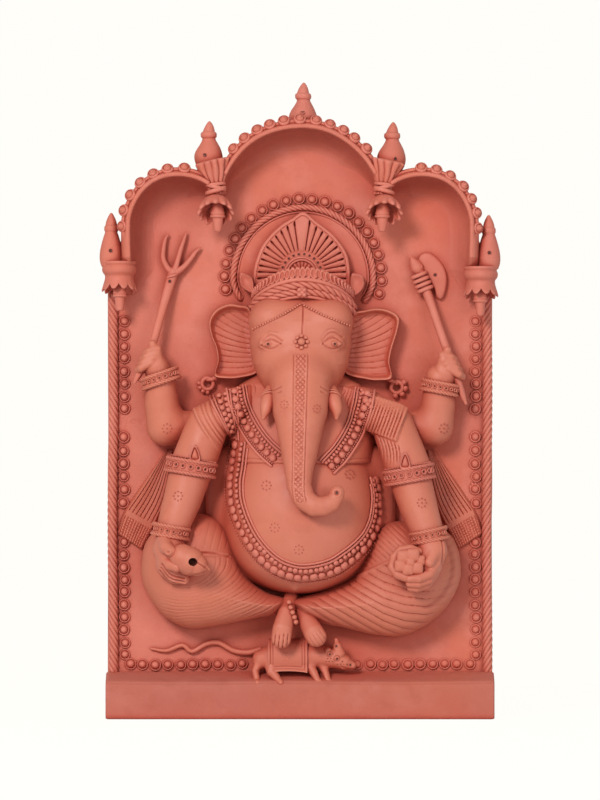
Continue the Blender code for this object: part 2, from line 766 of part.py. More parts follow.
def band_outline(path, width):
    """Strip of even width along a path seen from the front."""
    spots = [Vector(spot) for spot in path]
    outer, inner = [], []
    for k, spot in enumerate(spots):
        run = (spots[min(k + 1, len(spots) - 1)] - spots[max(k - 1, 0)]).normalized()
        aside = Vector((-run.y, run.x)) * width / 2
        outer.append(tuple(spot + aside))
        inner.append(tuple(spot - aside))
    return outer + inner[::-1]


def build_collar(chest):
    low = HEM_HEIGHT + 3
    outer = ((-72, 272), (-55, 240), (-36, 221), (-14, low), (2, low), (18, low), (40, 221), (58, 242),
             (66, 271))
    inner = ((46, 277), (41, 257), (30, 238), (16, 227), (2, 224), (-13, 227), (-35, 244), (-47, 260),
             (-54, 281))
    collar = build_chest("collar", COLLAR_THICKNESS + CLEARANCE)
    cut_to_outline(collar, spline(outer, 11) + spline(inner, 11))
    return seat(collar, chest)


def build_garland(belly):
    path = spline(((-62, 206), (-64, 174), (-59, 144), (-47, 120), (-26, 105), (0, 101), (25, 106),
                   (48, 121), (64, 146), (69, 172), (68, 186)), 15)
    garland = build_belly("belly_garland", GARLAND_THICKNESS + CLEARANCE)
    cut_to_outline(garland, band_outline(path, GARLAND_WIDTH))
    return seat(garland, belly)


# Arms and what they hold

def right_drop(sign):
    """The right arm sits a little lower than the left."""
    return 4 if sign > 0 else 0


def sleeve_line(sign):
    return [(sign * x, depth, height, wide, deep) for x, depth, height, wide, deep in
            ((70, 28, 271, 21, 19), (86, 35, 243, 24, 22), (103, 42, 206, 22, 20.5))]


def forearm_line(sign):
    return [(sign * x, depth, height - right_drop(sign), wide, deep) for x, depth, height, wide, deep in
            ((103, 42, 206 - CLEARANCE, 21, 19.5), (112.5, LEG_DEPTH - 8, 174, 18.5, 18),
             (122.5, LEG_DEPTH - 1, 145, 15, 15))]


def add_cuff(arm, stations):
    """Bracelet close to the end of an arm."""
    first, last = (Vector(station) for station in stations[-2:])
    length = (last - first).xyz.length
    ends = [last + (first - last) * (step / length) for step in (CUFF_WIDTH, 1.5)]
    grow = CUFF_THICKNESS
    cuff = limb("cuff", [(*end[:3], end[3] + grow, end[4] + grow) for end in ends], 10, (False, False))
    return fuse(arm, cuff)


def build_forearm(name, sign):
    line = forearm_line(sign)
    return add_cuff(limb(name, line, 10, (False, False)), [Vector(station) for station in line])


def build_armlet(name, sign, sleeve, forearm):
    top, low = sleeve_line(sign)[-1], forearm_line(sign)[0]
    run = Vector(forearm_line(sign)[1][:3]) - Vector(low[:3])
    run.normalize()
    stations = []
    for shift, station in ((-ARMLET_HALF_WIDTH, top), (ARMLET_HALF_WIDTH, low)):
        centre = Vector(station[:3]) + run * shift
        stations.append((*centre, top[3] + ARMLET_THICKNESS, top[4] + ARMLET_THICKNESS))
    return seat(limb(name, stations, 12, (False, False)), sleeve, forearm)


def build_raised_arm(name, sign, room):
    upper = limb(name, [(sign * x, depth, height, size, size) for x, depth, height, size in
                        ((92, 14, 240, 14), (113, 15, 234, 15.5), (ELBOW_X - 2, 16, 238, 16))])
    line = [(sign * x, depth, height, size, size * 0.95) for x, depth, height, size in
            ((ELBOW_X, 16, 237, 18), (ELBOW_X + 3.5, 19, 265, 16.5), (ELBOW_X + 3.5, 23, 290, 14))]
    fore = add_cuff(limb(name + "_fore", line, 8, (True, False)), [Vector(station) for station in line])
    return seat(fuse(upper, fore), room)


def add_fingers(hand, roots, tips):
    """Fingers spread evenly between a first and a last root, each with its own tip."""
    for k in range(FINGERS):
        share = k / (FINGERS - 1)
        root = Vector(roots[0]).lerp(Vector(roots[1]), share)
        tip = Vector(tips[0]).lerp(Vector(tips[1]), share)
        fuse(hand, limb("finger", [(*root, FINGER_RADIUS, FINGER_RADIUS),
                                   (*tip, FINGER_RADIUS * 0.85, FINGER_RADIUS * 0.85)], 5, (False, True)))
    return hand


def build_raised_hand(name, sign):
    """Fist closed round a staff."""
    line = ((3.5, 23.5, 291, 13.5, 13), (9, 26, 304, 14.5, 13), (16, 27, 314, 12, 11))
    hand = limb(name, [(sign * (ELBOW_X + aside), depth, height, wide, deep)
                       for aside, depth, height, wide, deep in line], 8, (False, True))
    return add_fingers(hand, [(sign * (ELBOW_X + 12), 36, 317), (sign * (ELBOW_X + 12), 36, 300)],
                       [(sign * (ELBOW_X + 26), 31, 318), (sign * (ELBOW_X + 23), 31, 301)])


def build_lower_hand(name, sign):
    """Open hand that lies on the knee and cups what it holds."""
    drop = right_drop(sign)
    front = LEG_DEPTH + 16
    line = ((122.7, -0.5, 144, 14.5, 14.5), (124, 4, 128, 17, 16), (117, 10, 113, 16, 13),
            (106, 13, 107, 12, 10))
    hand = limb(name, [(sign * x, LEG_DEPTH + proud, height - drop, wide, deep)
                       for x, proud, height, wide, deep in line], 8, (False, True))
    return add_fingers(hand, [(sign * 119, front, 104 - drop), (sign * 104, front, 108 - drop)],
                       [(sign * 112, front, 90 - drop), (sign * 89, front + 1, 99 - drop)])


def build_trident(room):
    line = ((-158, 27, 286, 0.95), (-147, 26, 306, 1), (-140, 21, 327, 1), (-123.5, 7, 388, 1.2))
    fork = (-123.5, 7, 387)
    staff = limb("trident", [(x, depth, height, STAFF_RADIUS * size, STAFF_RADIUS * size)
                             for x, depth, height, size in line], 8)
    prongs = (((-117, 6, 408), (-109.5, 4, 428)),
              ((-132, 6, 398), (-133, 5, 412), (-127.7, 4, 428)),
              ((-111, 6, 394), (-102, 5, 403), (-94, 4, 416)))
    for prong in prongs:
        sizes = [PRONG_RADIUS] * len(prong) + [PRONG_RADIUS * 0.6]
        fuse(staff, limb("prong", [(*spot, size, size) for spot, size in zip((fork, *prong), sizes)], 6))
    return seat(staff, room)


def build_axe(room):
    line = ((158, 25, 268, 0.95), (145, 27, 304, 1), (121, 9, 376, 1.3), (114.5, 7, 393, 1.8),
            (108, 6, 406, 1.8))
    staff = limb("axe", [(x, depth, height, STAFF_RADIUS * size, STAFF_RADIUS * size)
                         for x, depth, height, size in line], 8)
    edge = spline(((111, 402), (117, 412), (131, 407), (140, 393), (139, 378), (131, 366), (124, 377),
                   (117, 388)), 20, True)
    blade = vent(prism("blade", edge, CLEARANCE, BLADE_THICKNESS), 129.5, 390, BLADE_THICKNESS)
    return seat(fuse(staff, blade), room)


def build_conch():
    line = ((-118, 18, 127, 6, 6), (-107, 22, 120, 13, 11), (-94, 24, 113, 8, 7), (-88, 24, 110, 3.5, 3.5))
    return limb("conch", [(x, LEG_DEPTH + proud, height, wide, deep)
                          for x, proud, height, wide, deep in line], 10)


def build_sweets():
    spots = ((95, 26, 124), (107, 26, 123), (101, 29, 113), (112, 24, 113), (90, 25, 114), (101, 20, 118))
    balls = [studs("sweets" if k == 0 else "ball", [(x, LEG_DEPTH + proud, height)], SWEET_RADIUS)
             for k, (x, proud, height) in enumerate(spots)]
    return fuse(*balls)


def build_sash(name, sign):
    """Pleated cloth end that hangs from behind the arm and reaches out to the border rope."""
    rows = ((-6, 222, 0.02, 222), (-2, 176, 0.54, 186), (13, 144, 0.9, 160), (24, 124, 1, 139))
    start = ELBOW_X - 2
    reach = ROPE_X - ROPE_RADIUS + 1 - start
    count = 2 * SASH_FOLDS
    rings = []
    for near, near_height, far, far_height in rows:
        first = Vector((start + near, 0, near_height))
        last = Vector((start + reach * far, 0, far_height))
        ring = [(first.x, CLEARANCE, first.z)]
        for k in range(count + 1):
            spot = first.lerp(last, k / count)
            ring.append((spot.x, SASH_THICKNESS + SASH_FOLD_RISE * (k % 2), spot.z))
        ring.append((last.x, CLEARANCE, last.z))
        rings.append([(sign * x, depth, height) for x, depth, height in ring])
    return loft(name, rings)


# Legs, feet and the mouse

def build_legs():
    left = ((-13, 78), (-22, 66), (-57, 59), (-104, 52), (-139, 70), (-151, 104), (-145, 138), (-115, 157),
            (-88, 160), (-68, 142), (-54, 102), (-34, 86))
    right = ((1, 76), (12, 61), (44, 52), (96, 44), (140, 68), (154, 104), (146, 136), (112, 152),
             (86, 153), (68, 136), (53, 102), (29, 86))
    return {"left": pillow("left_leg", spline(left, LEG_SIDES, True), (-106, 102), LEG_DEPTH, LEG_WALL, 4),
            "right": pillow("right_leg", spline(right, LEG_SIDES, True), (106, 96), LEG_DEPTH, LEG_WALL, 4)}


def build_foot(name, line, spread):
    """Foot with a row of toes along its end."""
    foot = limb(name, line)
    x, depth, height = line[-1][:3]
    for k in range(TOES):
        aside = spread * (2 * k / (TOES - 1) - 1)
        spot = (x + aside, depth + 2, height - 7 + 2 * abs(aside) / spread)
        fuse(foot, studs("toe", [spot], TOE_RADIUS))
    return foot


def build_feet():
    left = ((-9, 32, 82, 7.5, 8), (-12, 38, 66, 9, 9), (-15.5, 41, 50, 10.5, 9), (-17.5, 42, 38, 10, 8))
    right = ((2, 31, 74, 7.5, 8), (8, 37, 59, 10, 9), (14, 40, 46, 12, 9), (17, 41, 40, 10, 8))
    return build_foot("left_foot", left, 8), build_foot("right_foot", right, 8)


def mouse_body(name, extra=0.0):
    line = ((-38, 12, 20, 12, 13), (-24, 13, 24, 13, 15), (-5, 13, 25, 12, 15), (12, 13, 25, 12, 14),
            (24, 15, 26, 11, 12), (36, 17, 24, 9, 10), (46, 18, 19, 6, 7))
    return limb(name, [(x, depth, height, wide + extra, deep + extra)
                       for x, depth, height, wide, deep in line])


def build_saddle(mouse):
    """Cloth over the back of the mouse, cut straight at its edges."""
    cloth = mouse_body("saddle_cloth", SADDLE_THICKNESS + CLEARANCE)
    cut_to_outline(cloth, ((-30, 46), (7, 46), (8, 11), (-31, 12)))
    return seat(cloth, mouse)


def build_mouse():
    body = mouse_body("mouse")
    legs = (((-34, 20, 16), (-42, 24, 6), (-39, 26, -4)), ((-30, 22, 14), (-24, 25, 4), (-20, 27, -4)),
            ((10, 20, 16), (13, 24, 5), (15, 26, -4)), ((18, 19, 16), (21, 22, 5), (23, 24, -4)))
    for path in legs:
        fuse(body, limb("paw", [(*spot, PAW_RADIUS, PAW_RADIUS) for spot in path], 5))
    for x in (24, 32):
        fuse(body, limb("mouse_ear", [(x - 1, 19, 30, 4.5, 2.5), (x, 20, 39, 3, 2)], 5))
    return body


def build_tail():
    path = spline(((-143, 32), (-128, 30), (-112, 35), (-102, 28), (-90, 34), (-78, 37), (-66, 32),
                   (-56, 27), (-40, 28)), 13)
    return limb("mouse_tail", [(x, 2, height, TAIL_RADIUS, TAIL_RADIUS) for x, height in path], 6)


# The whole plaque

def build_canopy(ropes, plinth):
    centre, left_arch, right_arch = build_hoods()
    for side, sign, arch in (("left", -1, left_arch), ("right", 1, right_arch)):
        seat(build_corbel("corbel_" + side, sign * (VALLEY_X + 3)), centre, arch)
        build_finial("finial_" + side, sign * (VALLEY_X + 7), CORBEL_TOP + CLEARANCE, centre, arch)
        cup = scalloped_cup("pendant_" + side, sign * (VALLEY_X + 1), CORBEL_DEPTH, CORBEL_FOOT - CLEARANCE,
                            2 * CUP_LOBES)
        seat(cup, centre, arch)
        bell = build_bell("corner_pendant_" + side, sign * BELL_X)
        pot_x = sign * (HALF_WIDTH - 3)
        pot = seat(turned("corner_pot_" + side, pot_x, POT_DEPTH, pot_profile()), arch, bell)
        vent(pot, pot_x, BELL_TOP + POT_HEIGHT * 0.25, POT_DEPTH + POT_RADIUS)
        seat(ropes[side], bell, plinth)
    build_finial("finial_top", FIGURE_X + 1, CENTRE_HEIGHT + CENTRE_RADIUS + HOOD_BAND - 1, centre)


def build_arms(room, slab, ropes, chest, collar, belly, garland, ears, legs):
    staffs = {"left": build_trident(room), "right": build_axe(room)}
    held = {"left": build_conch, "right": build_sweets}
    for side, sign in FIGURE_SIDES:
        arm = seat(build_raised_arm(side + "_raised_arm", sign, room), chest, staffs[side])
        sleeve = limb(side + "_sleeve", sleeve_line(sign), 10, (True, False))
        seat(sleeve, chest, collar, arm, ears[side])
        forearm = build_forearm(side + "_forearm", sign)
        seat(forearm, sleeve, arm, belly, garland, legs[side])
        seat(build_armlet(side + "_armlet", sign, sleeve, forearm), arm, chest, belly, garland)
        seat(build_raised_hand(side + "_raised_hand", sign), arm, staffs[side])
        hand = seat(build_lower_hand(side + "_lower_hand", sign), forearm, legs[side])
        seat(held[side](), hand, legs[side])
        seat(build_sash("sash_" + side, sign), arm, legs[side], forearm, hand, ropes[side], slab,
             staffs[side])


def build_pieces():
    wide, tall = SLAB_WIDTH, 2 * SPRING_HEIGHT
    room = prism("room", [(-wide, -wide), (wide, -wide), (wide, tall), (-wide, tall)], 0, -SLAB_THICKNESS * 3)
    slab = build_slab()
    plinth = build_plinth()
    ropes = build_ropes(room)
    build_canopy(ropes, plinth)

    chest = build_chest()
    belly = seat(build_belly(), chest)
    head = seat(build_head(), chest)
    ears = build_ears()
    for ear in ears.values():
        seat(ear, head, chest, slab)
    band = seat(build_crown_band(), head, *ears.values())
    fan = seat(build_fan(), head, band)
    for side, x, tall in (("left", -53, 14), ("right", 56, 22)):
        leaf = seat(build_crown_leaf("crown_leaf_" + side, x, tall), fan, band, head, ears[side])
        seat(ropes["halo"], leaf, ears[side])
    seat(ropes["halo"], slab)

    collar = seat(build_collar(chest), head, belly)
    trunk = seat(build_trunk(), head, chest, belly, collar)
    for side, sign in FIGURE_SIDES:
        seat(build_tusk(side + "_tusk", sign), head, trunk, chest, collar)
        seat(build_earring(side + "_earring", sign * EARRING_X), ears[side])
    garland = seat(build_garland(belly), chest, trunk)
    legs = build_legs()
    for leg in legs.values():
        seat(leg, belly, garland)
    build_arms(room, slab, ropes, chest, collar, belly, garland, ears, legs)

    mouse = seat(build_mouse(), room, plinth, slab)
    saddle = seat(build_saddle(mouse), slab, plinth)
    seat(build_tail(), room, mouse, slab)
    left_foot, right_foot = build_feet()
    seat(left_foot, legs["left"], legs["right"], belly, mouse, saddle)
    seat(right_foot, legs["right"], legs["left"], left_foot, belly, mouse, saddle)
    discard(room)


def clay(name, colour, roughness):
    material = bpy.data.materials.new(name)
    material.use_nodes = True
    shader = material.node_tree.nodes["Principled BSDF"]
    shader.inputs["Base Color"].default_value = (*colour, 1)
    shader.inputs["Roughness"].default_value = roughness
    return material


def finish_pieces():
    """Give each piece its clay, smooth its round faces and hang all of them on one frame."""
    clays = {"slab_clay": clay("slab_clay", (0.60, 0.17, 0.11), 0.75),
             "canopy_clay": clay("canopy_clay", (0.62, 0.18, 0.12), 0.7),
             "ornament_clay": clay("ornament_clay", (0.66, 0.22, 0.15), 0.65),
             "body_clay": clay("body_clay", (0.64, 0.19, 0.12), 0.5),
             "cloth_clay": clay("cloth_clay", (0.60, 0.17, 0.11), 0.6)}
    groups = (("slab_clay", ("back_slab", "plinth")),
              ("canopy_clay", ("canopy", "corbel", "finial", "corner_pot")),
              ("cloth_clay", ("sash", "sleeve", "leg", "saddle", "chest")),
              ("ornament_clay", ("pendant", "rope", "collar", "garland", "armlet", "earring", "crown",
                                 "trident", "axe", "sweets", "conch")))
    frame = bpy.data.objects.new("shrine_plaque", None)
    bpy.context.scene.collection.objects.link(frame)
    frame.location = (0, 0, PLINTH_HEIGHT * MM)
    for item in [item for item in bpy.data.objects if item.type == "MESH"]:
        chosen = next((slot for slot, words in groups if any(word in item.name for word in words)),
                      "body_clay")
        item.data.materials.clear()
        item.data.materials.append(clays[chosen])
        item.data.shade_smooth()
        item.data.set_sharp_from_angle(angle=SMOOTH_ANGLE)
        middle = sum((Vector(corner) for corner in item.bound_box), Vector()) / 8
        for spot in item.data.vertices:
            spot.co -= middle
        item.location = middle
        item.parent = frame
        item.data.name = item.name


clear_scene()
build_pieces()
finish_pieces()
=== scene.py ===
"""Looks of a terracotta relief plaque: a seated elephant-headed figure under a three-hooded canopy."""
import math

import bpy
import numpy as np
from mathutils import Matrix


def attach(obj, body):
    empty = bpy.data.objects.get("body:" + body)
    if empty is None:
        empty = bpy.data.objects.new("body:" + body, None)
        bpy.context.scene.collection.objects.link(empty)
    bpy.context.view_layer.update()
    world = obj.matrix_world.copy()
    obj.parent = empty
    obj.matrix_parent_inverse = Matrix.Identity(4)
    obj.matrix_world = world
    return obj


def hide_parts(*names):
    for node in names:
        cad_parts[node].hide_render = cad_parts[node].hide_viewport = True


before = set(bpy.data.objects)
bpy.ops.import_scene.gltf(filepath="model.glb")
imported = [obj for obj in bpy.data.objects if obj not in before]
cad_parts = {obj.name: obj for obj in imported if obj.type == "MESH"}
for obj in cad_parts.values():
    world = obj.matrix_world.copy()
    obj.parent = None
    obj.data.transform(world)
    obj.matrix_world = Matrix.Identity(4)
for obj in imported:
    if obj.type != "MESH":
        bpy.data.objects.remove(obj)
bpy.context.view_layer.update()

bl_info = {
    "name": "Terracotta Plaque",
    "version": (1, 0, 0),
    "blender": (4, 5, 0),
    "location": "View3D > Sidebar > Plaque",
    "description": "Models the clay pieces of a relief plaque over its CAD frame",
    "category": "Object",
}

# Spacing of the modelled skin in millimetres
FINE = 0.8
SEED = 7
METRES = 0.001
# Faces that meet at more than this angle keep a sharp edge
SHARP = math.radians(62)
FORWARD = (0, 1, 0)
SIDES = ((-1, "left"), (1, "right"))

# Middles in x and height, shared by pieces that follow each other
CENTRE_ARCH = np.array([0, 487.6])
SIDE_ARCH = np.array([115.8, 473])
HALO = np.array([3, 423])
FAN = np.array([1.5, 426])
EYES = {-1: (-30.4, 358.8), 1: (33.2, 358.8)}
TRUNK_TIP = (34.8, 217.4)
CONCH_MOUTH = (-101.6, 151.8)
MOUSE_EYES = ((28.5, 62), (35.4, 57.8))

# Material slot name of each finish; settle looks it up, but the mesh takes only the finish's material
SLOTS = {"slab clay": "slab_clay", "plinth clay": "slab_clay", "canopy clay": "canopy_clay",
         "ornament clay": "ornament_clay", "burnished clay": "body_clay", "cloth clay": "cloth_clay"}


class PlaqueSizes(bpy.types.PropertyGroup):
    """Sizes of the applied clay ornaments, in millimetres"""

    pellet: bpy.props.FloatProperty(
        name="Border pellet", description="Radius of a pressed border pellet", default=5.4, min=2)
    pellet_pitch: bpy.props.FloatProperty(
        name="Pellet pitch", description="Distance between border pellets", default=12.0, min=6)
    hood_pellet: bpy.props.FloatProperty(
        name="Hood pellet", description="Radius of a pellet on a hood's edge", default=6.0, min=2)
    rope: bpy.props.FloatProperty(
        name="Border rope", description="Radius of the rolled border rope", default=4.8, min=1)
    pleat: bpy.props.FloatProperty(
        name="Pleat depth", description="Depth of the combed cloth lines", default=0.9, min=0)
    prick: bpy.props.FloatProperty(
        name="Needle prick", description="Radius of a needle prick", default=0.75, min=0.2)


class PlaqueClay(bpy.types.PropertyGroup):
    """Colours of the fired clay, of the shade painted into its grooves and hollows, and of the backdrop"""

    ground: bpy.props.FloatVectorProperty(
        name="Slab clay", description="Colour of the slab", subtype="COLOR", size=3,
        default=(0.56, 0.155, 0.11))
    body: bpy.props.FloatVectorProperty(
        name="Burnished clay", description="Colour of the smoothed limbs", subtype="COLOR", size=3,
        default=(0.572, 0.167, 0.106))
    # Painted shade laid into grooves, creases and small crevices
    painted_shade: bpy.props.FloatVectorProperty(
        name="Painted groove shade", description="Colour in deep grooves", subtype="COLOR", size=3,
        default=(0.30, 0.045, 0.028))
    # Painted shade laid into wide hollows and between parts, reddened like light bounced between clay
    # surfaces
    red: bpy.props.FloatVectorProperty(
        name="Painted hollow shade", description="Colour in wide hollows", subtype="COLOR", size=3,
        default=(0.47, 0.075, 0.045))
    air: bpy.props.FloatVectorProperty(
        name="Backdrop", description="Colour of floor and backdrop", subtype="COLOR", size=3,
        default=(1.0, 0.99, 0.95))


# Curves and simple forms, in x, depth towards the viewer and height

def ramp(value, least=0.0):
    """Value held between a least share and one."""
    return np.clip(value, least, 1)


def bell(value):
    """Smooth hump, one at nought."""
    return np.exp(-value ** 2)


def xyz(x, depth, height):
    """Points from x, depth and height, each a row of numbers or one for all."""
    return np.stack(np.broadcast_arrays(x, depth, height), -1)


def circle(middle, radius, turn):
    """Front-view places round a middle."""
    return np.stack([middle[0] + radius * np.cos(turn), middle[1] + radius * np.sin(turn)], -1)


def curve(points, step=1.0, closed=False):
    """Smooth line through control points, in even steps along x, depth and height."""
    p = np.asarray(points, float)
    if closed:
        p = np.vstack([p[-1:], p, p[:2]])
    else:
        p = np.vstack([2 * p[:1] - p[1:2], p, 2 * p[-1:] - p[-2:-1]])
    t = np.linspace(0, 1, 20, endpoint=False)[:, None]
    spans = []
    for a, b, c, d in zip(p, p[1:], p[2:], p[3:]):
        spans.append(0.5 * (2 * b + (c - a) * t + (2 * a - 5 * b + 4 * c - d) * t ** 2
                            + (3 * b - a - 3 * c + d) * t ** 3))
    line = np.vstack(spans + [p[-2:-1]])
    run = np.concatenate([[0], np.cumsum(np.linalg.norm(np.diff(line[:, :3], axis=0), axis=1))])
    count = max(4, int(round(run[-1] / step)))
    even = np.linspace(0, run[-1], count + 1)
    if closed:
        even = even[:-1]
    return np.stack([np.interp(even, run, column) for column in line.T], 1)


def flat_curve(points, step, closed=False):
    """Smooth front-view line through pairs of x and height."""
    return curve([(x, 0, z) for x, z in points], step, closed)[:, [0, 2]]


def dense(outline, parts):
    """Closed outline with even points added between its corners."""
    outline = np.asarray(outline, float)
    return np.vstack([np.linspace(a, b, parts)[:-1] for a, b in zip(outline, np.roll(outline, -1, 0))])


def grid_faces(rows, columns, wrap=True):
    """Quads between rows of points; the columns close round where wrapped."""
    r = np.arange(rows - 1)[:, None]
    c = np.arange(columns if wrap else columns - 1)[None, :]
    n = (c + 1) % columns
    quads = np.stack([r * columns + c, r * columns + n, (r + 1) * columns + n, (r + 1) * columns + c], -1)
    return quads.reshape(-1, 4)


def fan_faces(ring, pole):
    ring = np.asarray(ring)
    return np.stack([ring, np.roll(ring, -1), np.full(len(ring), pole)], 1)


def capped(rings, tones=None):
    """Closed skin over rings of equal count, both ends drawn to their middle; tones go ring by ring."""
    rings = np.asarray(rings, float)
    rows, columns = rings.shape[:2]
    points = np.vstack([rings.reshape(-1, 3), rings[0].mean(0), rings[-1].mean(0)])
    side = grid_faces(rows, columns)
    last = (rows - 1) * columns
    low = fan_faces(np.arange(columns)[::-1], rows * columns)
    high = fan_faces(np.arange(last, last + columns), rows * columns + 1)
    part = points, [side, np.vstack([low, high])]
    return part if tones is None else (*part, np.concatenate(tones + [[0, 0]]))


def tube(path, size, sides=12, shape=None, rounded=True):
    """Rounded bar along a path; size is a radius, or half width and half depth for each point."""
    path = np.asarray(path, float)
    count = len(path)
    size = np.broadcast_to(np.asarray(size, float), (count, 2))
    run = np.gradient(path, axis=0)
    run /= np.linalg.norm(run, axis=1)[:, None]
    front = np.array([0, 1.0, 0]) - run * run[:, 1:2]
    flat = np.linalg.norm(front, axis=1) < 1e-3
    front[flat] = (0, 0, 1)
    front /= np.linalg.norm(front, axis=1)[:, None]
    across = np.cross(run, front)
    turn = 2 * np.pi * np.arange(sides) / sides
    factor = np.ones((count, sides)) if shape is None else shape(turn[None, :], np.arange(count)[:, None])
    rings = (path[:, None] + across[:, None] * (size[:, :1] * factor * np.cos(turn))[..., None]
             + front[:, None] * (size[:, 1:] * factor * np.sin(turn))[..., None])
    if rounded:
        bends = np.array([0.3, 0.6, 0.85, 0.98]) * np.pi / 2

        def dome(k, sign):
            middle, reach = path[k], size[k].min()
            return [middle + (rings[k] - middle) * math.cos(a) + sign * run[k] * reach * math.sin(a)
                    for a in bends]

        rings = np.concatenate([dome(0, -1)[::-1], rings, dome(-1, 1)])
    return capped(rings)


def tapered(stations, step, sides, flat=1.0):
    """Rounded bar through stations of x, depth, height and radius, with a share of that in depth."""
    line = curve(stations, step)
    return tube(line[:, :3], line[:, 3:] * np.array([1, flat]), sides)


def hoop(middle, across, over, size, sides, count=30):
    """Closed ring, from its reach along its two axes."""
    turn = np.linspace(0, 2 * np.pi, count)[:, None]
    ring = np.array(middle) + np.cos(turn) * across + np.sin(turn) * over
    return tube(ring, size, sides, rounded=False)


def rope(path, radius, strands=3, lay=0.32, sides=20, deep=0.3):
    """Rolled rope: a tube whose rounded strands wind along it, with shade painted between them."""
    path = np.asarray(path, float)
    wind = lay / radius * np.concatenate([[0], np.cumsum(np.linalg.norm(np.diff(path, axis=0), axis=1))])

    def strand(turn, k):
        return 1 - deep * (1 - np.abs(np.cos(strands * (turn - wind[k]) / 2)) ** 0.7)

    points, faces = tube(path, radius, sides, strand)
    turn = 2 * np.pi * np.arange(sides) / sides
    # Tone for the shade painted in the valleys between strands
    tone = np.zeros(len(points))
    inner = (1 - strand(turn[None, :], np.arange(len(path))[:, None])) / deep
    tone[4 * sides:4 * sides + inner.size] = 1.1 * inner.ravel() ** 1.5
    return points, faces, tone


def lathe(profile, sides=16, shape=None):
    """Closed turned form about its own third axis, from pairs of radius and height."""
    profile = np.asarray(profile, float)
    turn = 2 * np.pi * np.arange(sides) / sides
    reach = profile[:, :1] * np.ones(sides)
    rise = profile[:, 1:] * np.ones(sides)
    if shape is not None:
        reach, rise = shape(reach, rise, turn)
    return capped(xyz(reach * np.cos(turn), reach * np.sin(turn), rise))


def upright(part, x, depth, height=0.0):
    """Stand a turned form upright at a place."""
    points, faces = part
    return points + np.array([x, depth, height]), faces


def stamps(part, places, normals, size=1.0, spin=0.0):
    """Copies of a small turned form, each set on its place along its normal."""
    points, faces = part
    places = np.asarray(places, float).reshape(-1, 3)
    count = len(places)
    up = np.broadcast_to(np.asarray(normals, float), (count, 3)).copy()
    up /= np.linalg.norm(up, axis=1)[:, None]
    side = np.cross(up, (0.0, 0.0, 1.0))
    weak = np.linalg.norm(side, axis=1) < 1e-3
    side[weak] = (1, 0, 0)
    side /= np.linalg.norm(side, axis=1)[:, None]
    over = np.cross(up, side)
    turn = np.broadcast_to(spin, count)[:, None]
    first = side * np.cos(turn) + over * np.sin(turn)
    second = over * np.cos(turn) - side * np.sin(turn)
    size = np.asarray(size, float)
    size = np.broadcast_to(size[:, None] if size.ndim == 1 else size, (count, 3))
    local = points[None] * size[:, None]
    out = (places[:, None] + local[..., :1] * first[:, None] + local[..., 1:2] * second[:, None]
           + local[..., 2:] * up[:, None])
    shift = (np.arange(count) * len(points))[:, None, None]
    return out.reshape(-1, 3), [(block[None] + shift).reshape(-1, block.shape[1]) for block in faces]


# Small turned forms of radius one
BALL = lathe([(math.sin(a), -math.cos(a)) for a in np.linspace(0.12, np.pi - 0.12, 8)], 12)
PELLET = lathe([(0.98, -0.3), (1.02, 0.08), (1.0, 0.24), (0.93, 0.33), (0.84, 0.31), (0.77, 0.2),
                (0.73, 0.15), (0.68, 0.24), (0.62, 0.45), (0.52, 0.68), (0.36, 0.84), (0.18, 0.92),
                (0.04, 0.94)], 28)
BOSS = lathe([(1.0, -0.5), (1.02, 0.0), (0.98, 0.3), (0.86, 0.52), (0.74, 0.56), (0.66, 0.44), (0.6, 0.46),
              (0.54, 0.66), (0.44, 0.8), (0.3, 0.86), (0.22, 0.98), (0.12, 1.08), (0.03, 1.1)], 24)
HOLE = lathe([(1.25, -0.4), (1.2, 0.05), (1.02, 0.2), (0.86, 0.1), (0.78, 0.03), (0.4, 0.02), (0.05, 0.02)],
             12)
RINGLET = lathe([(1.0, -0.4), (1.05, 0.05), (0.98, 0.36), (0.84, 0.46), (0.68, 0.4), (0.55, 0.2), (0.46, 0.1),
                 (0.34, 0.08), (0.28, 0.02), (0.05, 0.0)], 14)


# Sculpted skins

def meld(a, b, k):
    """Smooth union of two fields."""
    h = ramp(0.5 + 0.5 * (b - a) / k)
    return b + (a - b) * h - k * h * (1 - h)


def bar(x, d, z, line, flat=1.0):
    """Field of a run of round cones; each station is x, depth, height and radius."""
    best = None
    for a, b in zip(line, line[1:]):
        vx, vd, vz = b[0] - a[0], (b[1] - a[1]) * flat, b[2] - a[2]
        px, pd, pz = x - a[0], (d - a[1]) * flat, z - a[2]
        t = ramp((px * vx + pd * vd + pz * vz) / (vx * vx + vd * vd + vz * vz))
        gap = np.sqrt((px - vx * t) ** 2 + (pd - vd * t) ** 2 + (pz - vz * t) ** 2) - a[3] - (b[3] - a[3]) * t
        best = gap if best is None else np.minimum(best, gap)
    return best


def egg(x, d, z, middle, radii):
    k = np.sqrt(((x - middle[0]) / radii[0]) ** 2 + ((d - middle[1]) / radii[1]) ** 2
                + ((z - middle[2]) / radii[2]) ** 2)
    return (k - 1) * min(radii)


def stack(x, d, z, rows):
    """Field of a half-round relief from level rings of height, x, half width, wall and swell."""
    rows = np.asarray(rows, float)
    rows = rows[np.argsort(rows[:, 0])]
    middle, wide, wall, swell = (np.interp(z, rows[:, 0], rows[:, k]) for k in range(1, 5))
    k = np.hypot((x - middle) / wide, np.maximum(d - wall, 0) / swell)
    ends = np.maximum(rows[0, 0] - z, z - rows[-1, 0])
    return np.maximum((k - 1) * np.minimum(wide, swell), ends)


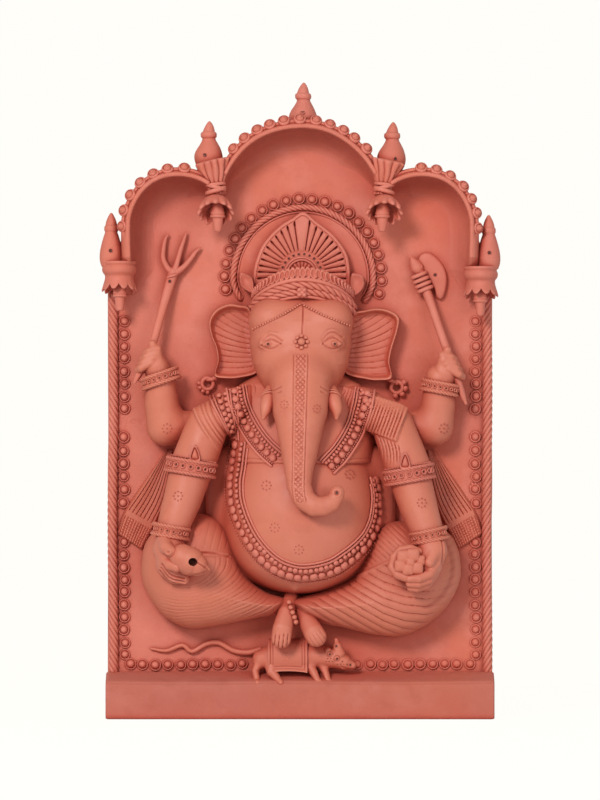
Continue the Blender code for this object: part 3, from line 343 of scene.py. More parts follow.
def edge_distance(x, z, outline):
    """Distance to an outline seen from the front, positive inside."""
    outline = np.asarray(outline, float)[:, :2]
    best = np.inf
    inside = False
    for (ax, az), (bx, bz) in zip(outline, np.roll(outline, -1, axis=0)):
        vx, vz = bx - ax, bz - az
        t = ramp(((x - ax) * vx + (z - az) * vz) / (vx * vx + vz * vz + 1e-9))
        best = np.minimum(best, (x - ax - vx * t) ** 2 + (z - az - vz * t) ** 2)
        inside = inside ^ (((az > z) != (bz > z)) & (x < vx * (z - az) / (vz if vz else 1e-9) + ax))
    return np.where(inside, 1, -1) * np.sqrt(best)


def skin(field, low, high, step):
    """Closed quads over the zero level of a field, one point in each cell that it crosses."""
    axes = [np.arange(a, b + step, step) for a, b in zip(low, high)]
    value = np.broadcast_to(field(axes[0][:, None, None], axes[1][None, :, None], axes[2][None, None, :]),
                            tuple(len(axis) for axis in axes)).astype(np.float32)
    inside = value < 0
    corners = [(i, j, k) for i in (0, 1) for j in (0, 1) for k in (0, 1)]
    cut = tuple(length - 1 for length in value.shape)

    def shifted(block, corner):
        return block[tuple(slice(s, s + length) for s, length in zip(corner, cut))]

    total = sum(shifted(inside, corner).astype(np.uint8) for corner in corners)
    cells = np.argwhere((total > 0) & (total < 8))
    held = np.stack([value[tuple((cells + corner).T)] for corner in corners], 1)
    spots = np.zeros((len(cells), 3))
    hits = np.zeros(len(cells))
    for a in range(8):
        for b in range(a + 1, 8):
            if sum(p != q for p, q in zip(corners[a], corners[b])) != 1:
                continue
            crossed = (held[:, a] < 0) != (held[:, b] < 0)
            t = held[:, a] / np.where(crossed, held[:, a] - held[:, b], 1)
            place = np.array(corners[a]) + t[:, None] * (np.array(corners[b]) - np.array(corners[a]))
            spots += np.where(crossed[:, None], place, 0)
            hits += crossed
    points = np.array(low) + step * (cells + spots / hits[:, None])
    index = np.full(cut, -1)
    index[tuple(cells.T)] = np.arange(len(cells))
    faces = []
    for axis in range(3):
        ahead = [slice(None)] * 3
        behind = [slice(None)] * 3
        ahead[axis], behind[axis] = slice(1, None), slice(None, -1)
        change = inside[tuple(ahead)] != inside[tuple(behind)]
        edges = np.argwhere(change)
        u, v = (axis + 1) % 3, (axis + 2) % 3
        edges = edges[(edges[:, u] > 0) & (edges[:, v] > 0) & (edges[:, u] < cut[u]) & (edges[:, v] < cut[v])]
        out = inside[tuple(edges.T)]
        around = []
        for du, dv in ((0, 0), (1, 0), (1, 1), (0, 1)):
            cell = edges.copy()
            cell[:, u] -= du
            cell[:, v] -= dv
            around.append(index[tuple(cell.T)])
        quads = np.stack(around, 1)
        quads[~out] = quads[~out][:, ::-1]
        faces.append(quads)
    return points, np.vstack(faces)


def slope(field, p, reach=0.4):
    parts = []
    for axis in range(3):
        move = np.zeros(3)
        move[axis] = reach
        ahead, behind = p + move, p - move
        parts.append(field(*ahead.T) - field(*behind.T))
    return np.stack(parts, 1) / (2 * reach)


def sculpt(field, low, high, carve=None, step=None, flat_back=True):
    """Skin of a field between two corners, drawn tight to it and then carved from the front."""
    def body(x, d, z):
        return np.maximum(field(x, d, z), 0.3 - d) if flat_back else field(x, d, z)

    low, high = np.minimum(low, high), np.maximum(low, high)
    points, faces = skin(body, low, high, step or FINE)
    for _ in range(2):
        grade = slope(body, points)
        grade /= np.maximum((grade ** 2).sum(1), 0.05)[:, None]
        points = points - np.clip(body(*points.T)[:, None] * grade, -0.8, 0.8)
    tone = np.zeros(len(points))
    if carve is not None:
        normal = slope(field, points, 0.8)
        normal /= np.maximum(np.linalg.norm(normal, axis=1), 1e-6)[:, None]
        facing = ramp(normal[:, 1] * 3 - 0.3)
        amount = carve(points[:, 0], points[:, 2], points[:, 1]) * facing
        points = points + normal * amount[:, None]
        # The depth carved into each point is kept as its tone, which the finishes paint as shade in the
        # grooves
        tone = np.clip(-amount, 0, 2)
    return points, [faces], tone


# Carving, as signed depths over x and height

def along(x, z, line):
    """Distance to a line seen from the front, and how far along it the nearest place lies."""
    best = np.full(np.shape(x), 1e9)
    reach = np.zeros(np.shape(x))
    run = 0.0
    for a, b in zip(line[:, :2], line[1:, :2]):
        v = b - a
        length = math.hypot(*v)
        t = ramp(((x - a[0]) * v[0] + (z - a[1]) * v[1]) / (length ** 2 + 1e-9))
        gap = (x - a[0] - v[0] * t) ** 2 + (z - a[1] - v[1] * t) ** 2
        near = gap < best
        best = np.where(near, gap, best)
        reach = np.where(near, run + t * length, reach)
        run += length
    return np.sqrt(best), reach


def groove(x, z, points, width=1.0, depth=0.8, step=4.0):
    """Incised line with slightly raised lips."""
    gap, _ = along(x, z, curve(points, step))
    return depth * (0.25 * bell((gap - 1.9 * width) / width) - bell(gap / width))


def rosette(middle, reach=4.2, count=8):
    """Places of a small flower of needle pricks."""
    return np.vstack([circle(middle, reach, 2 * np.pi * np.arange(count) / count), middle])


def pits(part, spots, size, proud=0.0, from_row=3, tone=3.0):
    """Small rings set on the front, each with a small hole in its middle painted near-black as shade."""
    points, faces = set_on(part, spots, size, proud)
    sides = len(part[1][1]) // 2
    # Rows from from_row inwards take a tone that the finishes paint as shade, near-black from two upwards
    painted_shade = np.zeros(len(part[0]))
    painted_shade[from_row * sides:] = tone
    painted_shade[-2] = 0
    return points, faces, np.tile(painted_shade, len(points) // len(painted_shade))


def pleats(phase, depth, share=0.3):
    """Combed lines: narrow grooves between broad rounded folds."""
    wave = np.abs(np.mod(phase, 1.0) - 0.5) * 2
    return depth * (0.3 * (1 - wave) - ramp((wave - 1 + share) / share) ** 1.5)


# Front of what is modelled so far, which the ornaments lie on

class Front:
    """Depth of the modelled front over a millimetre grid of x and height."""

    def __init__(self):
        self.depth_map = np.zeros((440, 640))

    def lay(self, points):
        p = np.asarray(points)
        reach = (0, 1) if FINE < 1 else (-1, 0, 1)
        for i in reach:
            for k in reach:
                u = np.clip((p[:, 0] + 220 + i).astype(int), 0, 439)
                v = np.clip((p[:, 2] + k).astype(int), 0, 639)
                np.maximum.at(self.depth_map, (u, v), p[:, 1])

    def depth(self, x, z):
        u, v = np.asarray(x, float) + 219.5, np.asarray(z, float) - 0.5
        i, k = np.clip(u.astype(int), 0, 438), np.clip(v.astype(int), 0, 638)
        a, b = ramp(u - i), ramp(v - k)
        m = self.depth_map
        return ((m[i, k] * (1 - a) + m[i + 1, k] * a) * (1 - b)
                + (m[i, k + 1] * (1 - a) + m[i + 1, k + 1] * a) * b)

    def normal(self, x, z, reach=3.0):
        x, z = np.asarray(x, float), np.asarray(z, float)
        gx = np.clip((self.depth(x + reach, z) - self.depth(x - reach, z)) / (2 * reach), -1.6, 1.6)
        gz = np.clip((self.depth(x, z + reach) - self.depth(x, z - reach)) / (2 * reach), -1.6, 1.6)
        n = xyz(-gx, 1.0, -gz)
        return n / np.linalg.norm(n, axis=-1)[..., None]

    def on(self, line, proud=0.0):
        """A line seen from the front, laid on what is there."""
        line = np.asarray(line, float)
        depth = self.depth(line[:, 0], line[:, 1])
        depth = np.convolve(np.pad(depth, 2, mode="edge"), np.ones(5) / 5, "valid")
        n = self.normal(line[:, 0], line[:, 1])
        return xyz(line[:, 0], depth, line[:, 1]) + n * proud


FRONT = Front()
LUCK = np.random.default_rng(SEED)


class Lump:
    """Clay of one piece: points, faces and how deep each point lies in a groove, which the finishes paint as
    shade.
    """

    def __init__(self):
        self.points, self.faces, self.tone, self.total = [], [], [], 0

    def add(self, part):
        points, faces = part[:2]
        tone = part[2] if len(part) > 2 else 0.0
        volume = 0.0
        for block in faces:
            for k in range(1, block.shape[1] - 1):
                a, b, c = points[block[:, 0]], points[block[:, k]], points[block[:, k + 1]]
                volume += np.einsum("ij,ij->", a, np.cross(b, c))
        for block in faces:
            block = block if volume < 0 else block[:, ::-1]
            self.faces.append(block + self.total)
        self.points.append(points)
        self.tone.append(np.broadcast_to(tone, len(points)))
        self.total += len(points)
        return self

    def lay(self):
        for points in self.points:
            FRONT.lay(points)
        return self

    def settle(self, node, finish, slot=None):
        """Make the piece, hang it on the frame and let it stand for its CAD node."""
        slot = slot or SLOTS[finish]
        points = np.vstack(self.points)
        place = xyz(points[:, 0], -points[:, 1], points[:, 2]) * METRES
        mesh = bpy.data.meshes.new(node + "_clay")
        corners = np.concatenate([block.ravel() for block in self.faces])
        sizes = np.concatenate([np.full(len(block), block.shape[1]) for block in self.faces])
        starts = np.concatenate([[0], np.cumsum(sizes)[:-1]])
        mesh.vertices.add(len(place))
        mesh.vertices.foreach_set("co", place.astype(np.float32).ravel())
        mesh.loops.add(len(corners))
        mesh.loops.foreach_set("vertex_index", corners.astype(np.int32))
        mesh.polygons.add(len(sizes))
        mesh.polygons.foreach_set("loop_start", starts.astype(np.int32))
        mesh.update(calc_edges=True)
        mesh.shade_smooth()
        mesh.set_sharp_from_angle(angle=SHARP)
        # Tone per point, which the finishes paint as shade
        tone = mesh.attributes.new("groove", "FLOAT", "POINT")
        tone.data.foreach_set("value", np.concatenate(self.tone).astype(np.float32))
        mesh.materials.append(bpy.data.materials[finish])
        piece = bpy.data.objects.new(node + "_clay", mesh)
        bpy.context.scene.collection.objects.link(piece)
        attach(piece, "root")
        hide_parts(node)


def beside(line, offset):
    """A front-view line moved sideways by a distance."""
    line = np.asarray(line, float)
    run = np.gradient(line, axis=0)
    run /= np.linalg.norm(run, axis=1)[:, None]
    return line + np.stack([-run[:, 1], run[:, 0]], 1) * offset


def spaced(line, pitch, jitter=0.0):
    """Places along a front-view line at an even pitch."""
    line = np.asarray(line, float)
    run = np.concatenate([[0], np.cumsum(np.linalg.norm(np.diff(line, axis=0), axis=1))])
    count = max(1, int(round(run[-1] / pitch)))
    at = (np.arange(count) + 0.5) * run[-1] / count
    spots = np.stack([np.interp(at, run, line[:, 0]), np.interp(at, run, line[:, 1])], 1)
    return spots + LUCK.normal(0, jitter, spots.shape) if jitter else spots


def set_on(part, spots, size, proud=0.0, spin=0.0, vary=0.06):
    """Small forms set on the modelled front at front-view spots."""
    spots = np.asarray(spots, float).reshape(-1, 2)
    n = FRONT.normal(spots[:, 0], spots[:, 1])
    places = xyz(spots[:, 0], FRONT.depth(spots[:, 0], spots[:, 1]), spots[:, 1]) + n * proud
    size = np.asarray(size, float) * np.ones(3)
    return stamps(part, places, n, size * (1 + vary * LUCK.uniform(-1, 1, (len(spots), 1))), spin)


def pillow(outline, profile, heart, base=0.3):
    """Modelled leaf: rings from the outline inwards, each a share of the way out and a depth."""
    outline = np.asarray(outline, float)[:, :2]
    rings = []
    for share, depth in [(profile[0][0], base)] + list(profile):
        flat = np.asarray(heart) + (outline - heart) * share
        rings.append(xyz(flat[:, 0], depth, flat[:, 1]))
    return capped(rings)


def half_turned(profile, x, wall):
    """Half-round fluted form against the slab."""
    flutes, deep, swell, sides, base = 5.5, 0.24, 0.85, 90, 0.3
    turn = np.linspace(0, np.pi, sides)
    lobe = 1 - deep * (1 - np.abs(np.sin(flutes * turn)) ** 0.6)
    rings = []
    for radius, height in profile:
        ring = xyz(x + radius * lobe * np.cos(turn), wall + swell * radius * lobe * np.sin(turn), height)
        foot = [[x - radius, base, height], [x + radius, base, height]]
        rings.append(np.vstack([ring, foot]))
    return capped(rings)


# Slab, plinth and border

def slab_top(x):
    """Height of the slab's three-lobed top edge."""
    x = np.abs(x)
    shoulder = 167.5

    def lobe(middle, radius):
        away = x - middle[0]
        return np.where(np.abs(away) < radius, middle[1] + np.sqrt(np.maximum(radius ** 2 - away ** 2, 0)), 0)

    slant = SIDE_ARCH[1] - (x - shoulder) * 54 / 16.5
    return np.where(x > shoulder, slant, np.maximum(lobe(SIDE_ARCH, 51.7), lobe(CENTRE_ARCH, 83)))


def make_slab(sizes):
    foot, back_depth = 35.3, -19.8
    edge = np.array([184, 183.6, 182.6, 181])
    xs = np.concatenate([-edge, np.linspace(-178, 178, 180), edge[::-1]])
    shares = np.concatenate([np.linspace(0, 0.985, 230), [0.99, 0.994, 0.9975, 1]])
    drops = np.interp(np.arange(len(shares)), [0, 230, 231, 232, 233], [0, 0, 0.2, 0.8, 2.5])
    ends = {0: 3.0, 1: 1.2, 2: 0.3}
    rings = []
    for k, x in enumerate(xs):
        z = foot + (slab_top(x) - foot) * shares
        depth = 0.35 * np.sin(x / 31 + z / 47) + 0.3 * np.sin(x / 17 - z / 23 + 1)
        depth += 0.12 * np.sin(x / 7 + z / 9)
        reach = np.hypot(x - HALO[0], z - HALO[1])
        depth = depth - 0.5 + 1.6 * ramp((63.5 - reach) / 1.2) * (z > 380)
        depth = depth - drops - max(ends.get(k, 0), ends.get(len(xs) - 1 - k, 0))
        depth += groove(np.full(len(z), x), z, [(-184, 285), (-165, 285.5), (-150, 284.5)], 1.0, 1.1)
        wavy = x * (1 + 0.0035 * np.sin(z / 29) * (abs(x) > 170))
        front = xyz(wavy, np.minimum(depth, 1.5), z)
        back = xyz(x, back_depth, np.linspace(z[-1] - 1.5, foot, 6))
        rings.append(np.vstack([front, back]))
    slab = Lump().add(capped(rings)).lay()
    down = [np.arange(381, 290, -12.0), [270, 257, 244.5, 232, 219.5, 207], np.arange(169, 55, -12.0)]
    row = np.arange(55, 169, sizes.pellet_pitch)
    for side, _ in SIDES:
        spots = [(side * 168.5, z) for z in np.concatenate(down)] + [(side * x, 51.5) for x in row]
        spots = np.array(spots) + LUCK.normal(0, 0.5, (len(spots), 2))
        rise = 1 if side < 0 else 0.7
        slab.add(set_on(PELLET, spots, sizes.pellet * np.array([1, 1, rise]), 0.2,
                        LUCK.uniform(0, 6, len(spots))))
    slab.add(set_on(BALL, circle((167, 222), 3.2, np.arange(6) * 1.047), (1.7, 1.7, 1.2)))
    slab.settle("back_slab", "slab clay")


def make_plinth():
    corner = [(-20, 0.4), (-19.6, 0), (28.6, 0), (30, 0.8), (30.6, 3), (30.4, 16), (30.4, 30), (30, 33),
              (28.6, 34.4), (28, 35.6), (26.6, 36.6), (16, 40.4), (6, 43.8), (4.4, 44.4), (2.6, 44.2),
              (0.3, 44), (0.3, 35), (-4, 34.9), (-19.6, 34.9), (-20, 34.4)]
    section = dense(corner, 5)
    xs = np.concatenate([[-186, -185.6, -184.4], np.linspace(-182, 182, 150), [184.4, 185.6, 186]])
    rings = []
    for k, x in enumerate(xs):
        tight = {0: 0.93, 1: 0.97, 2: 0.995}.get(min(k, len(xs) - 1 - k), 1.0)
        d, z = ((5, 18) + (section - (5, 18)) * tight).T
        free = ramp((d - 1) / 8)
        d = d + free * (0.45 * math.sin(x / 23) + 0.3 * np.sin(x / 9 + z / 6))
        z = z + (z > 30) * free * 0.5 * math.sin(x / 31 + 2)
        rings.append(xyz(x, d, np.maximum(z, 0)))
    Lump().add(capped(rings)).lay().settle("plinth", "plinth clay")


def make_ropes(sizes):
    for side, name in SIDES:
        path = [(side * 179.5 + 0.5 * math.sin(z / 40), 2.4, z) for z in np.arange(45.5, 406, 0.6)]
        lump = Lump().add(rope(path, sizes.rope, 5, side * 0.9, 40, 0.3))
        lump.settle("border_rope_" + name, "ornament clay")


def make_halo():
    radius = 67
    turn = np.radians(np.arange(-19, 199.5, 0.5))
    tuck = ramp((-3 - radius * np.sin(turn)) / 20) ** 1.6

    def arc(inner, depth):
        return xyz(HALO[0] + (radius - 5 * tuck - inner) * np.cos(turn), depth - 1.4 * tuck,
                   HALO[1] + (radius - inner) * np.sin(turn))

    lump = Lump().add(rope(curve(arc(0, 2.2)[::6], 0.6), 3.3, 4, 1.0, 32, 0.34))
    lump.add(tube(arc(4.4, 1.2), 1.1, 8))
    at = np.radians(np.arange(-12, 193, 9.55))
    spots = circle(HALO, 75.4, at) + LUCK.normal(0, 0.3, (len(at), 2))
    size = 5.5 * (1 + 0.06 * LUCK.uniform(-1, 1, len(at)))
    lump.add(stamps(PELLET, xyz(spots[:, 0], 0.4, spots[:, 1]), FORWARD, size))
    lump.settle("halo_rope", "ornament clay")


# Canopy

# Section of a hood as pairs of outward reach and depth: with a grooved rim, and with a plain one
HOOD = [(-24, -1.6), (-19, -0.4), (-14.5, 2.2), (-10, 7), (-6, 13.6), (-3, 21), (-1.2, 28.6), (-0.3, 35),
        (0.1, 38.6), (1.0, 40.6), (2.5, 41.2), (4.0, 40.6), (4.9, 39), (5.1, 37.2), (5.7, 36.2), (6.5, 36.8),
        (8.0, 36.6), (9.0, 35), (9.4, 30), (9.2, 18), (8.6, -1.6)]
PLAIN = HOOD[:12] + [(5.2, 40.0), (5.9, 39.2), (6.8, 38), (7.8, 36), (8.7, 33), (9.3, 29.5), (9.6, 24),
                     (9.4, 14), (8.6, -1.6)]


def hood(stations, radial, fade, narrow, plain):
    """Coved hood: its section carried along the arch, lower and narrower where it runs out, with painted
    shade inside the cove.
    """
    rings, tone = [], []
    for k, ((x, z), (rx, rz), part, close, flat) in enumerate(zip(stations, radial, fade, narrow, plain)):
        out, depth = (dense(HOOD, 4) * (1 - flat) + dense(PLAIN, 4) * flat).T
        # Painted shade in the cove, strongest by the rim and on the top and left, which face away from the
        # upper-left lamp
        inside = ramp((out + 23) / 15) * ramp((0.9 - out) / 0.8)
        tone.append(0.95 * inside * ramp(0.55 + 0.4 * rz - 0.3 * rx, 0.25))
        sway = 0.6 * math.sin(k / 9.0) * depth / 41
        out = np.where(out < 0, out * close, out) + 0.5 * sway
        rings.append(xyz(x + rx * out, np.where(depth > 0, depth * part, depth) + sway, z + rz * out))
    return capped(rings, tone)


def edge_pellets(middle, radius, first, last, count, size):
    """Domed pellets along a hood's outer edge, turned outwards."""
    turn = np.radians(np.linspace(first, last, count) + LUCK.normal(0, 0.5, count))
    out = xyz(np.cos(turn), 0, np.sin(turn))
    places = np.array([middle[0], 34.5, middle[1]]) + out * radius
    return stamps(BOSS, places, out * 0.62 + np.array([0, 0.78, 0]),
                  size * (1 + 0.05 * LUCK.uniform(-1, 1, count)), LUCK.uniform(0, 6, count))


def make_hoods(sizes):
    turn = np.radians(np.arange(9, 171.5, 0.9))
    radial = circle((0, 0), 1, turn)
    ends = np.minimum(turn - 0.15, np.pi - 0.15 - turn)
    fade = 0.4 + 0.6 * ramp(ends / 0.3)
    arch = Lump().add(hood(CENTRE_ARCH + 77 * radial, radial, fade, ramp(ends / 0.7, 0.06), 0 * turn))
    arch.add(edge_pellets(CENTRE_ARCH, 85.2, 42, 138, 11, sizes.hood_pellet))
    arch.lay().settle("canopy_centre_arch", "canopy clay")
    for side, node, first, last in ((-1, "canopy_left_arch", 84, 182), (1, "canopy_right_arch", 90, -4)):
        middle = SIDE_ARCH * (side, 1)
        turn = np.radians(np.arange(146, -0.5, -1.2))
        radial = circle((0, 0), 1, turn) * (side, 1)
        height = np.linspace(472, 407, 60)
        leg = np.stack([np.full(60, side * 161.5), height], 1)
        fade = np.interp(height, [407, 420, 434, 442], [0.04, 0.45, 0.8, 1])
        fade = np.concatenate([0.4 + 0.6 * ramp((2.5 - turn) / 0.3), fade])
        narrow = np.concatenate([ramp((2.55 - turn) / 0.7, 0.06), np.interp(height, [407, 430], [0.15, 1])])
        plain = np.concatenate([0 * turn, np.interp(height, [458, 468], [1, 0])])
        outwards = np.vstack([radial, np.tile([side, 0.0], (60, 1))])
        arch = Lump().add(hood(np.vstack([middle + 45.7 * radial, leg]), outwards, fade, narrow, plain))
        arch.add(edge_pellets(middle, 53.4, first, last, 7, sizes.hood_pellet * 0.98))
        arch.lay().settle(node, "canopy clay")


# Outline of a finial as pairs of radius and height
BOTTLE = [(0.1, -10), (9, -10), (11.6, -5), (13.2, 0), (13.7, 4), (13.2, 8), (11.4, 12.5), (8.8, 17),
          (7.0, 20.2), (6.4, 22), (6.3, 22.8), (7.3, 23.6), (7.8, 25.4), (7.5, 27.8), (6.3, 28.8),
          (5.7, 29.2), (5.6, 30), (4.6, 33), (2.9, 36.4), (1.0, 38.8), (0.1, 39.2)]


def smooth_profile(profile, step=0.8):
    """Turned outline with its corners eased."""
    line = curve([(r, 0, h) for r, h in profile], step)
    return np.stack([np.maximum(line[:, 0], 0.05), line[:, 2]], 1)


def make_finials():
    for node, x, foot, base, lean, vent in (("finial_left", -87.5, 533.2, 523.2, 0.5, (-91, 539.5)),
                                            ("finial_right", 87.5, 532.4, 522.4, 1.5, (91, 536)),
                                            ("finial_top", 3, 570.2, 565.6, 0.3, (2.5, 580.5))):
        points, faces = upright(lathe(smooth_profile(BOTTLE), 40), x, 16, foot)
        points[:, 2] = np.maximum(points[:, 2], base)
        rise = (points[:, 2] - foot) / 39
        points[:, 0] += lean * rise + 0.3 * np.sin(points[:, 2] / 3.1)
        lump = Lump().add((points, faces)).lay()
        lump.add(pits(HOLE, [vent], 1.8, 0.1))
        lump.settle(node, "canopy clay")


def make_corbels():
    profile = [(7.6, 502), (7.8, 510), (8.8, 514), (11.2, 519), (13.8, 525), (15.6, 530.5), (16, 533.4),
               (13, 534.6), (6, 534.8)]
    for side, name in SIDES:
        x, wall = side * 83.5, 34
        points, faces = half_turned(smooth_profile(profile), x, wall)
        high = ramp((points[:, 2] - 512) / 22)
        points[:, 2] += high * (-side) * (points[:, 0] - x) * 0.22
        points[:, 0] -= side * 3 * (1 - high)
        points[:, 0] += 0.8 * np.sin(points[:, 2] / 4.0 + points[:, 0] / 5) * high
        corbel = Lump().add((points, faces))
        for height, rise, size in ((505.4, -2.6, 2.3), (508.6, 2.4, 2.0), (511.4, -1.0, 1.6)):
            turn = np.linspace(-0.3, np.pi + 0.3, 40)
            tie = xyz(side * 80.4 + 8.0 * np.cos(turn), wall + 7.6 * np.sin(turn),
                      height + rise * side * np.cos(turn))
            corbel.add(tube(tie, (size * 1.1, size), 12))
        corbel.settle("corbel_" + name, "canopy clay")


def drop_form(top, low, wide):
    """Hanging drop: it widens to a ring and then tapers to a blunt end."""
    shape = [(0.05, 0), (0.4, 0.01), (0.54, 0.06), (0.62, 0.16), (0.7, 0.32), (0.75, 0.42), (0.98, 0.45),
             (1.02, 0.5), (0.92, 0.54), (0.96, 0.58), (0.86, 0.7), (0.72, 0.86), (0.62, 0.98), (0.05, 1.0)]
    return lathe(smooth_profile([(wide * r, low + (top - low) * s) for r, s in shape], 0.6), 28)


def make_pendants():
    cup = [(0.1, 9), (5, 8.6), (9.5, 6.6), (12.4, 2.6), (13.4, -0.8), (14.6, -2.2), (16.0, -1.8), (16.4, 0.6),
           (15.4, 4.6), (13.2, 9.4), (10.0, 13.8), (7.8, 17), (6.4, 20), (0.1, 20.4)]
    lean = math.radians(40)

    def scallops(reach, rise, turn):
        low, high = rise.min(), rise.max()
        near = ramp((high - rise) / (high - low)) ** 2
        lobe = np.abs(np.cos(6 * turn)) - 0.5
        return reach * (1 + 0.2 * near * lobe), rise - 4.0 * near * lobe

    for side, name in SIDES:
        points, faces = lathe(smooth_profile(cup), 156, scallops)
        out, rise = points[:, 1].copy(), points[:, 2].copy()
        points[:, 0] += side * 80.5
        points[:, 1] = 40 + out * math.cos(lean) - rise * math.sin(lean)
        points[:, 2] = 485.4 + out * math.sin(lean) + rise * math.cos(lean)
        lump = Lump().add((points, faces))
        lump.add(upright(drop_form(497, 465.6, 7.2), side * 78.6, 38))
        lump.settle("pendant_" + name, "canopy clay")


def make_corner_pots():
    pot = [(0.1, 432), (8, 432), (10, 435), (11, 439), (11.2, 443), (10.6, 449), (9.0, 456), (7.4, 461.5),
           (6.2, 465), (6.0, 466.4), (6.6, 467.2), (6.8, 469.4), (6.4, 471.6), (5.6, 472.2), (5.6, 473),
           (4.6, 477), (2.6, 481.6), (1.0, 484), (0.1, 484.4)]
    for side, name in SIDES:
        low = 0 if side < 0 else -2
        points, faces = upright(lathe(smooth_profile(pot), 40), side * 180.6, 22, low)
        lump = Lump().add((points, faces)).lay()
        lump.add(pits(HOLE, [(side * 181, 448 + low)], 1.9, 0.1))
        lump.settle("corner_pot_" + name, "canopy clay")


def make_corner_bells():
    bell_form = [(0.1, 417.6), (8, 417.4), (11.5, 416), (13.4, 413), (14.6, 411.4), (15.6, 411.2),
                 (15.9, 412.4), (15.4, 415), (14.4, 418.6), (13.7, 422), (13.9, 424.6), (15.2, 426.4),
                 (16.3, 428.5), (16.4, 431.5), (15.6, 433.6), (15.3, 434.8), (16.1, 436), (16.0, 437.4),
                 (14.6, 438.2), (0.1, 438.4)]

    def frill(reach, rise, turn):
        near = ramp((424 - rise) / 13) ** 1.6
        lobe = np.abs(np.cos(5 * turn)) * ramp(reach / 12 - 0.2)
        return (reach * (1 + 0.14 * near * (lobe - 0.5)),
                rise - 4.8 * near * (lobe - 0.5) + 0.2 * near * reach * np.sin(turn))

    for side, name in SIDES:
        low = 0 if side < 0 else -5
        points, faces = lathe(smooth_profile(bell_form), 120, frill)
        lump = Lump().add(upright((points * (1, 1.27, 1), faces), side * 173, 19.4, low))
        lump.add(upright(drop_form(421, 390.6, 6.6), side * 172.4, 25, low))
        lump.settle("corner_pendant_" + name, "canopy clay")


# Figure: shared forms

def cuff(middle, radii, half, thick, tilt, sides=64):
    """Flat band bent round the front of a limb; tilt is its rise for each millimetre of x."""
    across = np.array([1, 0, tilt]) / math.hypot(1, tilt)
    up = np.array([-tilt, 0, 1]) / math.hypot(1, tilt)
    section = [(0, -1), (0.75, -1), (1, -0.85), (1, -0.6), (0.85, -0.45), (0.85, 0), (0.85, 0.45), (1, 0.6),
               (1, 0.85), (0.75, 1), (0, 1), (-0.5, 0)]
    rings = []
    for a in np.linspace(-0.35, np.pi + 0.35, sides):
        rings.append([np.array(middle) + across * (radii[0] + off * thick) * math.cos(a)
                      + np.array([0, 1.0, 0]) * (radii[1] + off * thick) * math.sin(a) + up * lift * half
                      for off, lift in section])
    return capped(rings)


def cuff_spots(middle, reach, tilt, lift, count):
    """Front-view places along a cuff, closer together where it turns away."""
    a = np.linspace(0.2, np.pi - 0.2, count)
    x = middle[0] + reach * np.cos(a) - tilt * lift
    return np.stack([x, middle[2] + (x - middle[0]) * tilt + lift], 1)


def add_cuff(lump, middle, radii, half, tilt, dots, dot=1.9):
    """Band with a row of ringed dots between ticked cords."""
    band = cuff(middle, radii, half, 2.0, tilt)
    lump.add(band)
    FRONT.lay(np.vstack([band[0], (band[0] + np.roll(band[0], 12, 0)) / 2]))
    spots = cuff_spots(middle, radii[0], tilt, 0.1 * half, dots)
    lump.add(pits(RINGLET, spots, (dot, dot, dot * 1.2), 0.0, 7))
    for lift, size in ((-0.95, 1.9), (-0.58, 0.9), (0.62, 0.9), (0.98, 1.9)):
        a = np.linspace(-0.2, np.pi + 0.2, 130)
        x = radii[0] + 1.5
        edge = xyz(middle[0] + x * np.cos(a) - tilt * lift * half, middle[1] + (radii[1] + 1.5) * np.sin(a),
                   middle[2] + x * np.cos(a) * tilt + lift * half)
        lump.add(rope(edge, size, 3, 1.1, 16, 0.42))


def make_sashes():
    rows = [((122, 257), (129, 257)), ((125.5, 228), (142, 238)), ((131, 203), (158, 215)),
            ((141, 180), (170, 196)), ((151, 161), (176, 177))]
    for side, name in SIDES:
        lines = []
        for k in (0, 1):
            line = curve([(side * row[k][0], 0, row[k][1]) for row in rows], 0.5)
            at = np.linspace(0, len(line) - 1, 180)
            lines.append(np.stack([np.interp(at, np.arange(len(line)), line[:, c]) for c in (0, 2)], 1))
        v = np.linspace(0, 1, 151)
        rings, tones = [], []
        for k in range(180):
            u = k / 179
            hem = ramp((u - 0.72) / 0.015)
            fringe = ramp((u - 0.775) / 0.015)
            ridge = np.abs(np.mod(8 * v + 0.25 * np.sin(5 * u), 1) - 0.5) * 2
            fold = 1 - ramp((ridge - 0.62) / 0.38) ** 1.6
            comb = np.abs(np.sin(12 * np.pi * v + 1.5 * np.sin(3 * v)))
            weave = np.abs(np.sin(u * 110 + 2 * v))
            knots = (comb * weave) ** 0.6
            depth = 3.0 + (1 - hem) * (1.4 * fold + 0.4 * np.sin(9 * v)) + hem * 2.0
            depth = depth - fringe * (1.1 - 1.3 * knots)
            depth = np.minimum(depth, 0.6 + 60 * np.minimum(v, 1 - v)) * ramp((180 - k) / 4, 0.25)
            flat = lines[0][k] + (lines[1][k] - lines[0][k]) * v[:, None]
            front = xyz(flat[:, 0], np.maximum(depth, 0.5), flat[:, 1])
            rings.append(np.vstack([front, [[flat[-1, 0], 0.3, flat[-1, 1]], [flat[0, 0], 0.3, flat[0, 1]]]]))
            # Tone for shade painted in the valleys between folds and between the fringe knots
            tones.append(np.concatenate([(1 - hem) * 0.5 * (1 - fold) + fringe * 0.5 * (1 - knots), [0, 0]]))
        Lump().add(capped(rings, tones)).settle("sash_" + name, "cloth clay")


